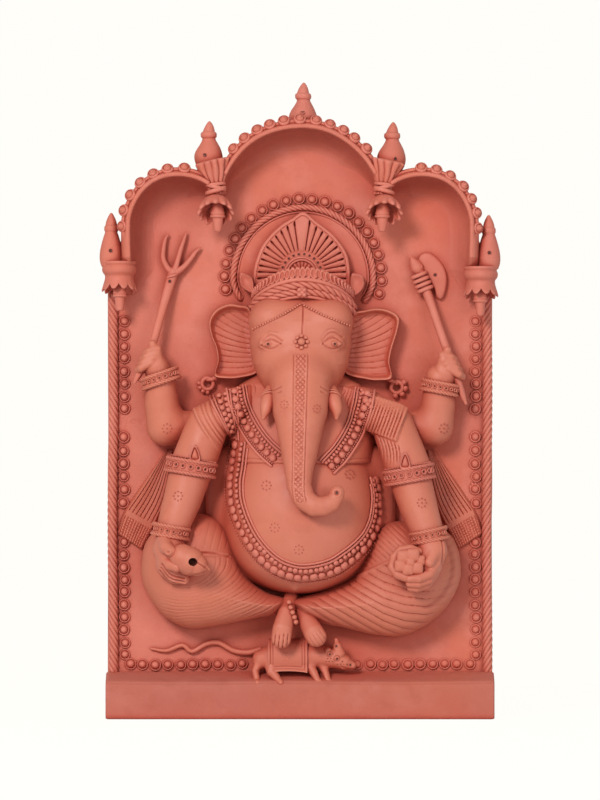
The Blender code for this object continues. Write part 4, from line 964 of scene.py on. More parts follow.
def make_raised_arms(sizes):
    for side, name in SIDES:
        def field(x, d, z):
            upper = bar(x, d, z, [(side * 92, 14, 284, 13), (side * 112, 15, 279, 14.5),
                                  (side * 127, 16, 280, 15.5)])
            fore = bar(x, d, z, [(side * 128.6, 16, 280, 17.6), (side * 132.4, 19, 302, 16.4),
                                 (side * 133.5, 23, 326, 13.6)])
            return meld(upper, fore, 9)

        lump = Lump().add(sculpt(field, (side * 70, -1, 252), (side * 156, 40, 344))).lay()
        lump.add(pits(HOLE, rosette((-127 if side < 0 else 138, 278), 4.4), sizes.prick, tone=2.1))
        middle = (side * 134, 22, 326 if side < 0 else 317)
        add_cuff(lump, middle, (16.2, 15.4), 4.4, 0.33 if side < 0 else -0.2, 9, 2.0)
        lump.settle(name + "_raised_arm", "burnished clay")


def make_trident():
    lump = Lump()
    lump.add(tapered([(-158.4, 27, 322, 1.4), (-154, 27, 330, 3.2), (-147, 26, 341, 3.6),
                      (-140, 21, 362, 3.8), (-132, 14, 392, 4.2), (-125.5, 8, 415, 5.0),
                      (-121.5, 6, 428, 5.2)], 1.2, 16, 0.9))
    for prong in ([(-121, 6, 427, 4.0), (-127, 5.6, 432, 3.0), (-131.4, 5, 441, 2.7), (-131, 4.6, 451, 2.4),
                   (-129.4, 4.2, 459, 1.9), (-127, 4, 464, 1.0)],
                  [(-121, 6, 426, 4.2), (-118, 5.6, 437, 2.8), (-114.4, 5, 450, 2.5), (-111, 4.4, 460, 1.9),
                   (-109, 4.2, 466, 0.9)],
                  [(-120.4, 6, 427, 4.0), (-112, 5.8, 432.6, 2.8), (-105, 5.2, 440.6, 2.5),
                   (-100.4, 4.8, 447, 2.0), (-96, 4.4, 451, 1.0)]):
        lump.add(tapered(prong, 1.2, 14, 1.05))
    lump.add(hoop((-122.6, 7, 424.4), (5.2, 0, 1.6), (0, 5, 0), 1.3, 8)).lay()
    lump.add(pits(HOLE, [(-124.8, 419)], 1.6, 0.1))
    lump.settle("trident", "ornament clay")


def make_axe():
    lump = Lump()
    lump.add(tapered([(158.6, 25, 302, 1.4), (154, 25.5, 314, 3.4), (150, 26.5, 326, 3.7),
                      (145, 27, 341, 3.9), (137, 21, 363, 4.0), (128, 13.5, 390, 4.2), (121, 9, 410, 4.6),
                      (114.8, 7.4, 428, 4.6)], 1.2, 16))
    bud = [(114.5, 7.4, 427, 4.6), (112.4, 7, 432, 6.4), (109, 6.8, 438, 4.4), (106.4, 6.6, 443, 1.0)]
    lump.add(tapered(bud, 0.8, 20))
    for s in np.arange(4) / 3:
        lump.add(hoop((119.8 - 5.6 * s, 9, 411.5 + 13.5 * s), (6.3, 0, 2.6), (0, 4.6, 0), 2.0, 10))
    blade = [(112, 436), (116, 445), (124, 446.6), (133, 440), (139.5, 430), (141, 418), (137.4, 404),
             (132, 402.6), (129, 411), (123, 421), (116, 430)]
    swell = [(1.0, 2.2), (0.985, 4.2), (0.95, 5.4), (0.8, 6.2), (0.6, 6.5), (0.4, 6.6), (0.2, 6.6),
             (0.05, 6.6)]
    lump.add(pillow(flat_curve(blade, 1.0, closed=True), swell, (129, 424)))
    lump.lay().add(pits(HOLE, [(129.6, 425.3)], 1.7, 0.1))
    lump.settle("axe", "ornament clay")


def make_raised_hands():
    for side, name in SIDES:
        low = 0 if side < 0 else -6

        def field(x, d, z):
            z = z - low
            palm = bar(x, d, z, [(side * 133.5, 23.5, 326, 12.5), (side * 138, 25, 337, 12),
                                 (side * 142, 25, 346, 10)])
            for k in range(4):
                a = (side * (154.5 - 2.6 * k), 27 + 0.4 * k, 334 + 5.4 * k, 4.0)
                b = (side * (151.5 - 2.6 * k), 33.5 - 0.5 * k, 336 + 5.4 * k, 4.0)
                c = (side * (142 - 2.0 * k), 34 - 0.5 * k, 341 + 4.4 * k, 3.6)
                palm = meld(palm, bar(x, d, z, [a, b, c]), 1.3)
            thumb = bar(x, d, z, [(side * 134, 29, 338, 5.4), (side * 136.5, 31.5, 349, 4.8),
                                  (side * 141, 30, 359, 3.8)])
            return meld(palm, thumb, 2.2)

        lump = Lump()
        lump.add(sculpt(field, (side * 118, -1, 300), (side * 163, 42, 368), None, FINE * 0.8))
        lump.settle(name + "_raised_hand", "burnished clay")


# Outlines of the left and right ear
EAR = {-1: [(-48, 393), (-58, 396.5), (-69, 397.5), (-80.5, 392), (-87, 381.5), (-85.5, 368), (-80.6, 355),
            (-79, 342), (-82, 328), (-72, 325.5), (-58, 326), (-40, 332), (-40, 350), (-43, 372)],
       1: [(51, 388), (62, 391.5), (74, 393.5), (85.5, 391.5), (94.8, 385), (93.6, 372), (88.4, 355),
           (86, 341), (88, 326), (77, 323.5), (64, 324.5), (43, 331), (43, 350), (46, 370)]}


def make_ears():
    for side, name in SIDES:
        outline = flat_curve(EAR[side], 0.9, closed=True)
        heart = np.array([side * 62, 360])
        shares = np.concatenate([[1.0, 1.0, 0.99, 0.97, 0.945], np.linspace(0.92, 0.02, 60)])
        depth = np.interp(-shares, -np.array([1, 0.99, 0.97, 0.945, 0.915, 0.89, 0.86, 0.78, 0.5, 0.0]),
                          [14.4, 18.2, 20, 20, 18.4, 15, 11.6, 9.6, 9, 9.8])
        depth[0] = 5
        points, faces = pillow(outline, list(zip(shares, depth)), heart)
        dx, dz = side * points[:, 0] + 22, points[:, 2] - 350
        reach = np.hypot(dx, dz)
        phase = (np.arctan2(dz, dx) - 0.000035 * (reach - 62) ** 2) / 0.062
        inner = ramp((0.87 - np.repeat(np.concatenate([[1.0], shares]), len(outline))) / 0.06)
        amount = np.zeros(len(points))
        amount[:len(inner)] = pleats(phase[:len(inner)], 0.8, 0.22) * inner
        points[:, 1] += amount
        # Tone for shade painted in the pleat grooves
        Lump().add((points, faces, ramp(-1.2 * amount))).lay().settle(name + "_ear", "burnished clay")


def make_earrings():
    for side, name in SIDES:
        x, z = (-88.6, 321) if side < 0 else (92.8, 317.4)
        lump = Lump().add(hoop((x, 4.4, z), (5.4, 0, 0), (0, 0.4, 5.4), (2.0, 2.3), 12, 44))
        spread = np.radians([178, 208, 238, 270] if side < 0 else [-100, -52, -8, 34])
        reach, bead = (8.4, 2.3) if side < 0 else (8.2, 3.0)
        spots = circle((x, z), reach, spread)
        lump.add(stamps(BALL, xyz(spots[:, 0], 3.6, spots[:, 1]), FORWARD, bead))
        lump.add(tube([(side * 80, 8, 327), (side * 84, 6.5, 325), (x, 4.6, z + 4)], 2.2, 10))
        lump.settle(name + "_earring", "ornament clay")


def make_fan():
    edge = np.array([(-45.4, 408), (-45, 426), (-41.6, 441), (-34.6, 456), (-20.6, 471), (-6.6, 480),
                     (3.5, 485.4), (15, 477), (32.6, 463), (44.6, 446), (48.4, 426), (48.6, 408)]) - FAN
    line = flat_curve(edge, 0.5)
    angle = np.mod(np.arctan2(line[:, 1], line[:, 0]) + np.pi / 2, 2 * np.pi) - np.pi / 2
    order = np.argsort(angle)
    turn = np.linspace(-0.32, np.pi + 0.32, 660)
    reach = np.interp(turn, angle[order], np.hypot(line[:, 0], line[:, 1])[order])
    rays = np.radians(np.concatenate([np.linspace(-6, 81, 11), np.linspace(98, 186, 11)]))
    near = np.abs(turn[:, None] - rays).min(1)
    rings, tones = [], []

    def ring(radius, depth, at=turn):
        spots = circle(FAN, radius, at)
        return xyz(spots[:, 0], depth, spots[:, 1])

    def add_ring(radius, depth, tone):
        rings.append(np.vstack([ring(radius, depth), [[-1.5, 0.3, 408], [4.5, 0.3, 408]]]))
        tones.append(np.append(tone, [0, 0]))

    for back, depth in ((0, 0.3), (0, 11.4), (0.3, 12.8), (0.9, 13.6), (1.8, 14.0), (2.8, 14.0)):
        add_ring(reach - back, depth, 0 * turn)
    for share in np.concatenate([np.linspace(1, 0.45, 50), np.linspace(0.43, 0.02, 16)]):
        r = 1 + share * (reach - 4.2)
        out = ramp((reach - 4.0 - r) / 0.6)
        end = bell((reach - 6.4 - r) / 2.2)
        slot = ramp((0.45 + 0.006 * r + 0.3 * end - near * r) / 0.35) * ramp((r - 22) / 2.0) * out
        burst = (r < 12) * 1.6 * np.abs(np.sin(turn * 9 + 0.5)) * ramp(r / 5)
        rib = 1.3 * ramp(near * r / 2.6) ** 0.7 * ramp((r - 21) / 2) * out
        # Tone for shade painted in the slots and between the petals of the middle burst
        add_ring(r, 13.2 + rib + burst - slot * (1.8 + 2.4 * end),
                 slot * (0.7 + 1.2 * end) + 0.4 * (burst < 0.5) * (r < 12))
    lump = Lump().add(capped(rings, tones)).lay()
    for radius in (13.4, 15.7):
        lump.add(tube(ring(radius, 14.6, np.radians(np.linspace(-4, 184, 60))), 1.2, 10))
    lump.add(pits(HOLE, circle(FAN, 19.2, np.radians(np.linspace(4, 176, 12))), 1.2, 0.2))
    lump.settle("crown_fan", "ornament clay")


def make_leaves():
    leaves = {-1: [(-44, 408), (-49, 408.6), (-55, 413), (-57.4, 420), (-57, 427), (-51, 425.6), (-45, 421)],
              1: [(49, 425), (54, 426.4), (60, 424), (61.6, 416), (58, 409), (52, 405), (48, 408)]}
    swell = [(1, 17), (0.96, 19.6), (0.85, 20.6), (0.7, 19.6), (0.5, 18.2), (0.2, 18.0), (0.03, 18.2)]
    for side, name in SIDES:
        outline = flat_curve(leaves[side], 0.8, closed=True)
        Lump().add(pillow(outline, swell, outline.mean(0))).settle("crown_leaf_" + name, "ornament clay")


def pits_at(places, normals, size):
    """Pits at places in space, painted near-black as shade."""
    points, faces = stamps(HOLE, places, normals, size)
    painted_shade = np.full(len(HOLE[0]), 3.0)
    painted_shade[:36] = 0
    return points, faces, np.tile(painted_shade, len(places))


# Outlines of the left and right leg
LEG = {-1: [(-13, 114), (-22, 101), (-40, 97), (-57, 93.5), (-80, 89), (-104, 86.5), (-124, 94), (-139, 108),
            (-150, 130), (-151.5, 153), (-146, 172), (-130, 187), (-110, 194), (-88, 195), (-68, 178),
            (-54, 140), (-34, 122)],
       1: [(-6, 114), (-3, 104), (5, 97), (24, 91), (44, 87), (70, 81), (96, 79.5), (118, 88), (138, 104),
           (151, 126), (154, 145), (150, 166), (139, 180), (112, 187), (86, 188), (68, 172), (53, 138),
           (26, 124)]}


def make_legs(sizes):
    for side, name in SIDES:
        outline = flat_curve(LEG[side], 4, closed=True)

        def field(x, d, z):
            inner = edge_distance(x, z, outline)
            dome = 20 + 36 * np.sqrt(ramp(1 - (1 - ramp(inner / 40)) ** 2))
            return np.maximum((d - dome) * 0.7, -inner)

        def folds(x, z, d):
            if side < 0:
                dx, dz = x + 116, z - 151
                reach = np.hypot(np.where(dx > 0, dx / 1.65, dx), dz)
                wander = 0.5 * np.sin(x / 9 + z / 13) + 0.3 * np.sin(x / 4.7 - z / 7)
                zone = ramp((reach - 19) / 3) * ramp((157.5 - z) / 3)
                zone = zone * (0.7 + 0.3 * np.sin(x / 17 + z / 11)) * ramp((x + 142) / 26, 0.1)
                zone = zone * np.maximum(ramp((z - 90) / 16, 0.25), ramp((x + 72) / 20))
                comb = pleats((reach + wander) / 3.1, 0.75 * sizes.pleat, 0.36)
                out = (comb + pleats((reach + 1.4 * wander) / 1.9 + 0.3, 0.3 * sizes.pleat, 0.45)) * zone
                top = ramp((z - 161) / 3) * ramp((x + 108) / 4)
                out = out + pleats((x - 0.25 * z) / 7, 0.4 * sizes.pleat, 0.35) * top
                ledge = [(-100, 160), (-84, 159.4), (-68, 156)]
                lip = 1.2 * bell((z - 157.6) / 1.6) * ramp((x + 102) / 3) * ramp((-66 - x) / 3)
                return out + groove(x, z, ledge, 1.0, 1.2) + lip
            bend = np.interp(x, [-10, 0, 30, 60, 80, 100, 120, 140, 160],
                             [8, 0, -20, -39, -50, -57, -60, -56, -46])
            phase = (z - bend + 0.6 * np.sin(x / 11 + z / 17)) / 7.6
            zone = ramp((138 + 0.52 * (x - 57) - z) / 3) * ramp((136 - x) / 20, 0.25)
            fine = pleats(phase + 0.17, 0.55 * sizes.pleat, 0.16)
            out = (pleats(phase, 1.4 * sizes.pleat, 0.2) + fine) * zone
            top = ramp((z - 142 - 0.4 * (x - 57)) / 3) * ramp((102 - x) / 4)
            out = out + pleats((z + 0.9 * x) / 6.0, 0.9 * sizes.pleat, 0.25) * top
            ridge, _ = along(x, z, curve([(55, 137), (70, 144), (86, 151.6)], 3))
            below = bell(ridge / 1.5)
            soft = bell((np.hypot(x - 104, z - 146) - 42) / 3) * ramp((x - 112) / 10)
            return out + 1.5 * below - 0.8 * soft

        low, high = outline.min(0) - 2, outline.max(0) + 2
        lump = Lump().add(sculpt(field, (low[0], -1, low[1]), (high[0], 60, high[1]), folds)).lay()
        lump.settle(name + "_leg", "cloth clay")


def make_belly(sizes):
    def field(x, d, z):
        reach = np.hypot((x - 0.5) / 79.5, (z - 195) / np.where(z > 195, 100, 76))
        full = 2 + 0.7 * ramp((188 - z) / 45)
        k = (reach ** full + (np.abs(d) / 80) ** full) ** (1 / full)
        flank = (((x - 0.5) / 91) ** 4 + (d / 29) ** 4 + ((z - 200) / 70) ** 4) ** 0.25
        return np.maximum(meld((k - 1) * 76, (flank - 1) * 29, 6), z - 262)

    def lines(x, z, d):
        return 2.4 * np.exp(-(((x + 5) / 4) ** 2 + ((z - 125) / 3) ** 2))

    lump = Lump().add(sculpt(field, (-95, -1, 117), (96, 83, 265), lines, FINE * 1.25)).lay()
    for middle in ((-24, 184), (-1, 163), (48, 235), (-32, 224)):
        lump.add(pits(HOLE, rosette(middle), sizes.prick, tone=1.2))
    lump.settle("belly", "burnished clay")


def make_garland():
    line = flat_curve([
        (-61.5, 266), (-64, 244), (-66.4, 226), (-65, 207), (-58, 186), (-47.5, 167), (-32.6, 150.5),
        (-16.5, 140.6), (3.7, 136.6), (30, 141.4), (50, 153.6), (66, 170), (73.6, 186), (76, 202),
        (75.4, 217), (71.6, 232)], 1.5)
    close = np.interp(np.linspace(0, 1, len(line)), [0.7, 0.86, 1], [1, 0.72, 0.5])[:, None]
    lump = Lump()
    lump.add(set_on(BALL, spaced(line, 7.7, 0.35), (4.1, 4.3, 3.0), 0.5, 0.0, 0.12))
    lump.add(set_on(BALL, spaced(beside(line, 6.2 * close), 5.0, 0.25), (2.6, 2.6, 2.2), 0.5, 0.0, 0.1))
    lump.add(rope(FRONT.on(beside(line, 9.6 * close), 0.5), 1.4, 3, 0.9, 12, 0.4))
    lump.add(tube(FRONT.on(beside(line, 12.4 * close)[4:-4], 0.3), 1.0, 8))
    lump.add(set_on(BALL, spaced(beside(line, -5.2)[:int(0.8 * len(line))], 2.7, 0.1), (0.9, 0.9, 1.1), 0.2))
    lump.settle("belly_garland", "ornament clay")


def make_chest():
    rows = [(331, 0, 40, 10, 18), (320, 0, 58, 12, 24), (307, 0, 66, 14, 30), (285, 1, 68, 15, 39),
            (265, 2, 68.5, 13, 49.5), (252, 2, 68.5, 9, 60), (246.5, 2, 68.3, 7, 64.2),
            (244.6, 2, 67.4, 6, 64)]

    def lines(x, z, d):
        return groove(x, z, [(-68, 250), (0, 248.6), (70, 249.6)], 0.8, 0.5, 6)

    def field(x, d, z):
        return stack(x, d, z, rows)

    lump = Lump().add(sculpt(field, (-74, -1, 242), (75, 76, 334), lines)).lay()
    lump.settle("chest", "burnished clay")


def make_sleeves(sizes):
    for side, name in SIDES:
        def field(x, d, z):
            arm = bar(x, d, z, [(side * 60, 25, 300, 16), (side * 88, 33, 282.5, 20),
                                (side * 103, 42, 241, 21.6)])
            return meld(arm, bar(x, d, z, [(side * 44, 20, 308, 13), (side * 62, 24, 299, 15.6)]), 8)

        def folds(x, z, d):
            u = side * x
            if side < 0:
                edge = u - 104 + 0.30 * (301 - z) + 0.006 * (z - 301) ** 2
                zone = ramp(-edge / 2) * ramp((z - 244) / 14)
                lay = 1.2 * np.sin(z / 11) - edge + 0.7 * np.sin(edge / 3.1)
                drape = pleats(lay / 5.0, 1.15 * sizes.pleat, 0.7)
                out = drape * zone * ramp(lay / 6 - 0.5)
                return out + 1.8 * bell((edge + 1.8) / 1.7) * ramp((z - 262) / 12) + 0.9 * zone
            top = 309 - z - 0.32 * (u - 71)
            right = 104 - u - 0.335 * (299 - z)
            low = z - 275 + 0.42 * (u - 67)
            block = ramp(top / 1.5) * ramp(right / 1.5) * ramp(low / 1.5)
            line = ramp(top / 8 - 0.4, 0.25) * ramp(low / 4)
            out = pleats((u + 0.335 * (299 - z)) / 3.2, 2.0 * sizes.pleat, 0.5) * block * line + 2.4 * block
            under = ramp(-low / 2) * ramp((97 - u) / 3) * ramp((z - 240) / 14)
            sweep = u + 0.42 * (z - 250) + 0.012 * (z - 268) ** 2
            out = out + pleats(sweep / 3.2, 1.5 * sizes.pleat, 0.45) * under
            hem = bell((top - 2.4) / 1.4) + bell((right - 2.0) / 1.3)
            return out + 0.9 * hem * block

        lump = Lump().add(sculpt(field, (side * 26, -1, 216), (side * 130, 70, 328), folds)).lay()
        lump.settle(name + "_sleeve", "burnished clay", "cloth_clay")


def make_collar():
    lump = Lump()

    def row(line, kind, size, pitch=None):
        if kind == "cord":
            lump.add(tube(FRONT.on(line, 0.5), size, 8))
        elif kind == "rope":
            lump.add(rope(FRONT.on(line, 0.5), size, 3, 0.9, 10, 0.35))
        else:
            lump.add(set_on(BALL, spaced(line, pitch, 0.12), (size, size, 0.82 * size), 0.5))

    necklines = {-1: [(-52, 319), (-48.6, 302), (-39, 283), (-28, 268), (-15, 256)],
                 1: [(53, 317), (50, 300), (43, 280), (32, 262), (19, 248)]}
    for side, _ in SIDES:
        inner = flat_curve(necklines[side], 1.2)
        for offset, *kind in ((0, "cord", 1.1), (2.7, "rope", 1.2), (6.0, "bead", 1.8, 3.6),
                              (11.4, "bead", 3.5, 7.2), (15.8, "bead", 1.0, 2.3), (18.2, "cord", 1.3)):
            row(beside(inner, side * offset), *kind)
    outer = np.array([(-87, 309), (-83, 300), (-75, 285), (-66, 268)])
    near = np.array([(-59, 317), (-59, 302), (-59, 285), (-58, 267)])
    for share, *kind in ((0.02, "cord", 1.1), (0.15, "rope", 1.2), (0.33, "bead", 2.7, 5.6),
                         (0.56, "bead", 2.5, 5.2), (0.73, "rope", 1.2), (0.86, "bead", 1.1, 2.6),
                         (0.98, "cord", 1.1)):
        row(flat_curve(outer + (near - outer) * share, 1.2), *kind)
    for k in range(3):
        spots = [(60.5 + 2 * k, 312 - 5.4 * k), (65.5 + 1.2 * k, 310 - 5.6 * k)]
        lump.add(set_on(BALL, spots, (2.6, 2.5, 2.0), 0.4))
    lump.settle("collar", "ornament clay")


def make_forearms(sizes):
    for side, name in SIDES:
        low = 0 if side < 0 else -4

        def field(x, d, z):
            return bar(x, d, z - low, [(side * 103, 42, 241, 20.6), (side * 112.5, 48, 209, 18.2),
                                       (side * 122.5, 55, 180, 15)])

        block = (side * 80, 8, 158), (side * 142, 74, 266)
        lump = Lump().add(sculpt(field, *block, flat_back=False)).lay()
        lump.add(pits(HOLE, rosette((side * 116, 214 if side < 0 else 207.5)), sizes.prick, tone=2.1))
        add_cuff(lump, (side * 123, 55, 180 + low), (15.4, 15.4), 4.8, 0.2 * side, 8, 2.0)
        lump.settle(name + "_forearm", "burnished clay")


def make_armlets():
    for side, name in SIDES:
        low = 0 if side < 0 else -7
        tilt = 0.17 * side
        middle = (side * 104, 42.5, 241 + low)
        lump = Lump()
        add_cuff(lump, middle, (21.8, 22), 6.0, tilt, 9, 2.7)
        lump.add(set_on(BALL, cuff_spots(middle, 22, tilt, 8.4, 34), (0.7, 0.9, 0.9), 0.4))
        shape = [(-4.4, 247), (-4.2, 254), (0, 263), (4.2, 254), (4.4, 247)]
        leaf = flat_curve([(side * 100 + x, z + low) for x, z in shape], 0.8, closed=True)
        reach = FRONT.depth(side * 100.0, 255.0 + low)
        swell = [(1, 2.2), (0.94, 4.6), (0.78, 4.4), (0.66, 2.4), (0.4, 4.2), (0.05, 5)]
        lump.add(pillow(leaf, [(share, reach + rise) for share, rise in swell], leaf.mean(0), reach - 6))
        lump.settle(name + "_armlet", "ornament clay")


def make_lower_hands():
    fingers = {-1: [[(128, 68, 154, 6.0), (123, 75, 149, 5.8), (117, 79.6, 146.6, 4.8)]],
               1: [[(130, 67, 152, 5.2), (123, 74, 141, 5.0), (113, 78, 137, 4.6), (104, 78.4, 136.6, 3.8)],
                   [(130, 65, 147, 5.0), (122, 71, 135.6, 5.0), (112, 74.6, 131.8, 4.4),
                    (104, 75, 131.8, 3.6)],
                   [(128, 62, 142, 5.0), (120, 67.4, 131, 4.8), (111, 70, 127.4, 4.2),
                    (105, 70.6, 127.6, 3.4)]]}
    for side, name in SIDES:
        low = 0 if side < 0 else -1

        def field(x, d, z):
            u, z = side * x, z - low
            hand = bar(u, d, z, [(122.7, 55.5, 176, 14.0), (126, 61, 163, 14.2), (122, 64, 150, 12.5),
                                 (115, 62, 143, 9)])
            if side < 0:
                hand = meld(hand, bar(u, d, z, [(126, 59, 147, 11), (119, 62, 138.6, 8.4),
                                                (110, 63, 135, 5.0)]), 5)
            for line in fingers[side]:
                hand = meld(hand, bar(u, d, z, line), 1.0)
            thumb = [(129, 66, 172, 6.8), (127, 75, 165, 6.4), (122.5, 80.5, 161.6, 5.4)]
            if side > 0:
                thumb = [(130, 64, 168, 6.4), (127, 71, 160, 6.0), (123, 75, 152, 5.4)]
            return meld(hand, bar(u, d, z, thumb), 2.0)

        def lines(x, z, d):
            if side > 0:
                return groove(x, z, [(133, 178), (136, 164), (135, 150)], 0.8, 1.0)
            nail = np.hypot(x + 125, (z - 161) * 1.3)
            out = 0.8 * bell((nail - 2.6) / 0.7) - 0.8 * bell(nail / 1.7)
            for k in range(3):
                out = out + groove(x, z, [(-131 - k, 149 - 3 * k), (-123 - 0.5 * k, 139 - 3.2 * k),
                                          (-110, 135.6 - 3.2 * k)], 0.9, 1.3)
            return out

        block = (side * 96, 30, 116), (side * 146, 94, 194)
        lump = Lump().add(sculpt(field, *block, lines, FINE * 0.85, False)).lay()
        lump.settle(name + "_lower_hand", "burnished clay")


def make_conch():
    def field(x, d, z):
        body = bar(x, d, z, [(-118, 72, 158, 9), (-111.5, 75.5, 156, 12.6), (-104.5, 77.5, 152.4, 13.8),
                             (-98, 79, 149, 10.6), (-92, 79.6, 146, 5.6), (-87.6, 79.6, 144.6, 2.2)])
        mouth = egg(x, d, z, (CONCH_MOUTH[0], 92, CONCH_MOUTH[1]), (4.2, 10, 3.8))
        return np.maximum(body, -mouth)

    def lines(x, z, d):
        return groove(x, z, [(-97.6, 151.4), (-93, 148.6), (-88, 145)], 0.9, 1.0) + groove(
            x, z, [(-87, 143.4), (-97, 139.6), (-107, 139)], 1.0, 0.8)

    points, faces, tone = sculpt(field, (-130, 54, 132), (-82, 95, 174), lines, FINE * 0.7, False)
    gap = np.hypot((points[:, 0] - CONCH_MOUTH[0]) / 4.4, (points[:, 2] - CONCH_MOUTH[1]) / 4.0)
    # Tone that paints the conch's mouth near-black as shade
    tone = tone + 3.0 * (gap < 1) * (points[:, 1] < 90.2)
    Lump().add((points, faces, tone)).lay().settle("conch", "burnished clay", "ornament_clay")


def make_sweets():
    lumps = [(98.4, 78.6, 156.4, 6.4), (107.4, 78.8, 158, 6.2), (114, 77, 153, 5.0), (95.4, 78.8, 147.8, 5.8),
             (102.6, 80, 144.6, 5.6), (111, 79, 146, 6.0), (104.8, 80, 151.6, 4.6)]

    def field(x, d, z):
        cup = egg(x, d, z, (102.6, 66, 150), (17.4, 12.8, 15.8))
        cup = meld(cup, bar(x, d, z, [(87.6, 72, 146, 4.0), (93, 75, 139.6, 4.6), (102, 76, 136.6, 4.6),
                                      (111, 74.6, 139, 4.2)]), 1.5)
        cup = meld(cup, bar(x, d, z, [(87.6, 72, 147, 4.0), (89.6, 72, 156, 4.4), (96, 72, 162.6, 4.4),
                                      (105, 72, 164, 4.2), (113, 71, 161, 4.0)]), 2.5)
        for x0, d0, z0, r in lumps:
            k = (((x - x0) / r) ** 4 + ((z - z0) / r) ** 4) ** 0.5 + ((d - d0) / 3.4) ** 2
            cup = np.minimum(cup, (np.sqrt(k) - 1) * 3.4)
        return cup

    lump = Lump().add(sculpt(field, (80, 48, 128), (124, 95, 172), None, FINE * 0.7, False)).lay()
    lump.settle("sweets", "burnished clay", "ornament_clay")


# Trunk as x, depth, height and radius, and head as height, x, half width, wall and swell
TRUNK = [(0.8, 58, 321, 28), (0.2, 66, 297, 26.5), (-0.3, 73, 275, 21.5), (-0.6, 79, 253, 17),
         (-1.2, 84, 238, 13.8), (-0.6, 87.5, 223, 11.6), (4.2, 91, 211, 10.5), (13, 93, 204.8, 9.9),
         (22, 93, 204.2, 9.2), (30, 92.5, 207.6, 8.4), (34, 91.5, 213, 7.5), (35, 91, 217.4, 7.3)]
HEAD = [(414, 0.5, 22, 12, 12), (411, 0.5, 32, 14, 18), (407, 0.5, 38, 16, 22), (395, 0.5, 44, 20, 28),
        (380, 0.5, 47.5, 24, 33), (359, 0.5, 48.5, 26, 37), (340, 0.5, 46, 26, 39), (325, 0.5, 40, 26, 39),
        (313, 0.5, 33, 26, 38), (303, 0.5, 28, 26, 34)]


def face_field(x, d, z):
    """Head and trunk as one form."""
    trunk = bar(x, d, z, TRUNK, 1.25)
    head = stack(x, d, z, HEAD)
    for side in (-1, 1):
        head = meld(head, egg(x, d, z, (side * 31 + 1, 46, 359), (10.5, 12, 6.5)), 3)
        head = meld(head, egg(x, d, z, (side * 27 + 1, 38, 384), (20, 19, 17)), 12)
    return meld(head, trunk, 11)


def net(x, z, d):
    """Net strip down the middle of the trunk, between two raised borders."""
    middle = np.interp(z, [200, 215, 223, 338], [1.5, -1, -1.8, 0.8])
    half = np.interp(z, [205, 260, 340], [3.8, 4.2, 4.8])
    u = x - middle
    ends = ramp((350 - z) / 1.5) * ramp((z - 207) / 2)
    inside = ramp((half - np.abs(u)) / 0.5) * ends
    lace = np.minimum(np.abs(np.mod((z + u * 1.1) / 5, 1) - 0.5), np.abs(np.mod((z - u * 1.1) / 5, 1) - 0.5))
    border = bell((np.abs(u) - half - 0.8) / 0.8)
    line = bell((np.abs(u) - half - 2.1) / 0.6)
    return inside * (0.3 - 1.2 * ramp(1 - lace / 0.17)) + ends * (0.7 * border - 0.7 * line)


def face_lines(x, z, d):
    out = net(x, z, d)
    lids = {-1: ([(-37, 357), (-33, 362.4), (-27, 363.4), (-18.5, 359)],
                 [(-37, 357), (-31, 354), (-25, 354.6), (-18.5, 359)],
                 [(-36.6, 361), (-31, 366.6), (-25, 366.8), (-17.4, 362)],
                 [(-35, 366), (-29, 370), (-21, 369)]),
            1: ([(22, 359), (27, 364), (33, 365), (41, 359.6)],
                [(22, 359), (27, 355), (34, 353.8), (41, 358)],
                [(21.4, 361.6), (26, 368), (33, 369.6), (40.6, 365.6)],
                [(20, 364), (25.6, 371.4), (33, 372.8), (38, 370)])}
    for side, (ex, ez) in EYES.items():
        for line, width, depth in zip(lids[side], (0.9, 0.85, 0.9, 0.9), (0.8, 0.7, 0.6, 0.35)):
            out = out + groove(x, z, line, width, depth)
        gap = np.hypot(x - ex, z - ez)
        out = out - 0.7 * bell((gap - 3.3) / 0.6) - 0.8 * bell(gap / 1.2)
        for ring in (0, 4.5):
            line = [(side * 19 + 1, 318 - ring), (side * 28, 313.5 - ring), (side * 37, 316 - ring)]
            out = out + groove(x, z, line, 0.7, 0.7)
    return out + groove(x, z, [(3, 397), (2.6, 382), (2.2, 369)], 0.7, 1.0)


def make_head():
    def field(x, d, z):
        return np.maximum(face_field(x, d, z), 309 - z)

    lump = Lump().add(sculpt(field, (-52, -1, 306), (53, 84, 418), face_lines)).lay()
    for line in ([(0.8, 397), (-9, 391), (-18.7, 385.5), (-32, 379), (-45.7, 372.7)],
                 [(3, 396), (19, 387.5), (32.5, 382), (48, 376)]):
        flat = flat_curve(line, 1.0)
        lump.add(set_on(BALL, spaced(flat, 2.6), (1.25, 1.25, 1.1), 0.3))
    lump.add(set_on(BALL, [(1.4, 360.6)], (3.5, 3.5, 3.0), 0.4))
    ring = circle((1.4, 360.6), 5.6, np.arange(8) * math.pi / 4)
    lump.add(set_on(BALL, ring, (2.0, 2.0, 1.7), 0.1))
    lump.add(pits(HOLE, list(EYES.values()), 1.35, 0.7))
    lump.settle("head", "burnished clay")


def make_trunk(sizes):
    def field(x, d, z):
        free = bar(x, d, z, TRUNK, 1.25)
        whole = np.where(z > 296, face_field(x, d, z), free)
        return np.maximum(whole + 0.1, z - 312)

    def lines(x, z, d):
        tip = np.hypot(x - TRUNK_TIP[0], z - TRUNK_TIP[1])
        return net(x, z, d) + 0.7 * bell((tip - 3.6) / 0.9) - 0.8 * bell(tip / 1.9)

    lump = Lump().add(sculpt(field, (-34, 22, 188), (46, 110, 316), lines, None, False)).lay()
    spots = np.vstack([rosette((-15, 301), 3.6), rosette((16.4, 297), 3.6)])
    lump.add(pits(HOLE, spots, 0.8 * sizes.prick, tone=1.2))
    lump.add(pits(HOLE, [TRUNK_TIP], 1.7, 0.6))
    lump.settle("trunk", "burnished clay")


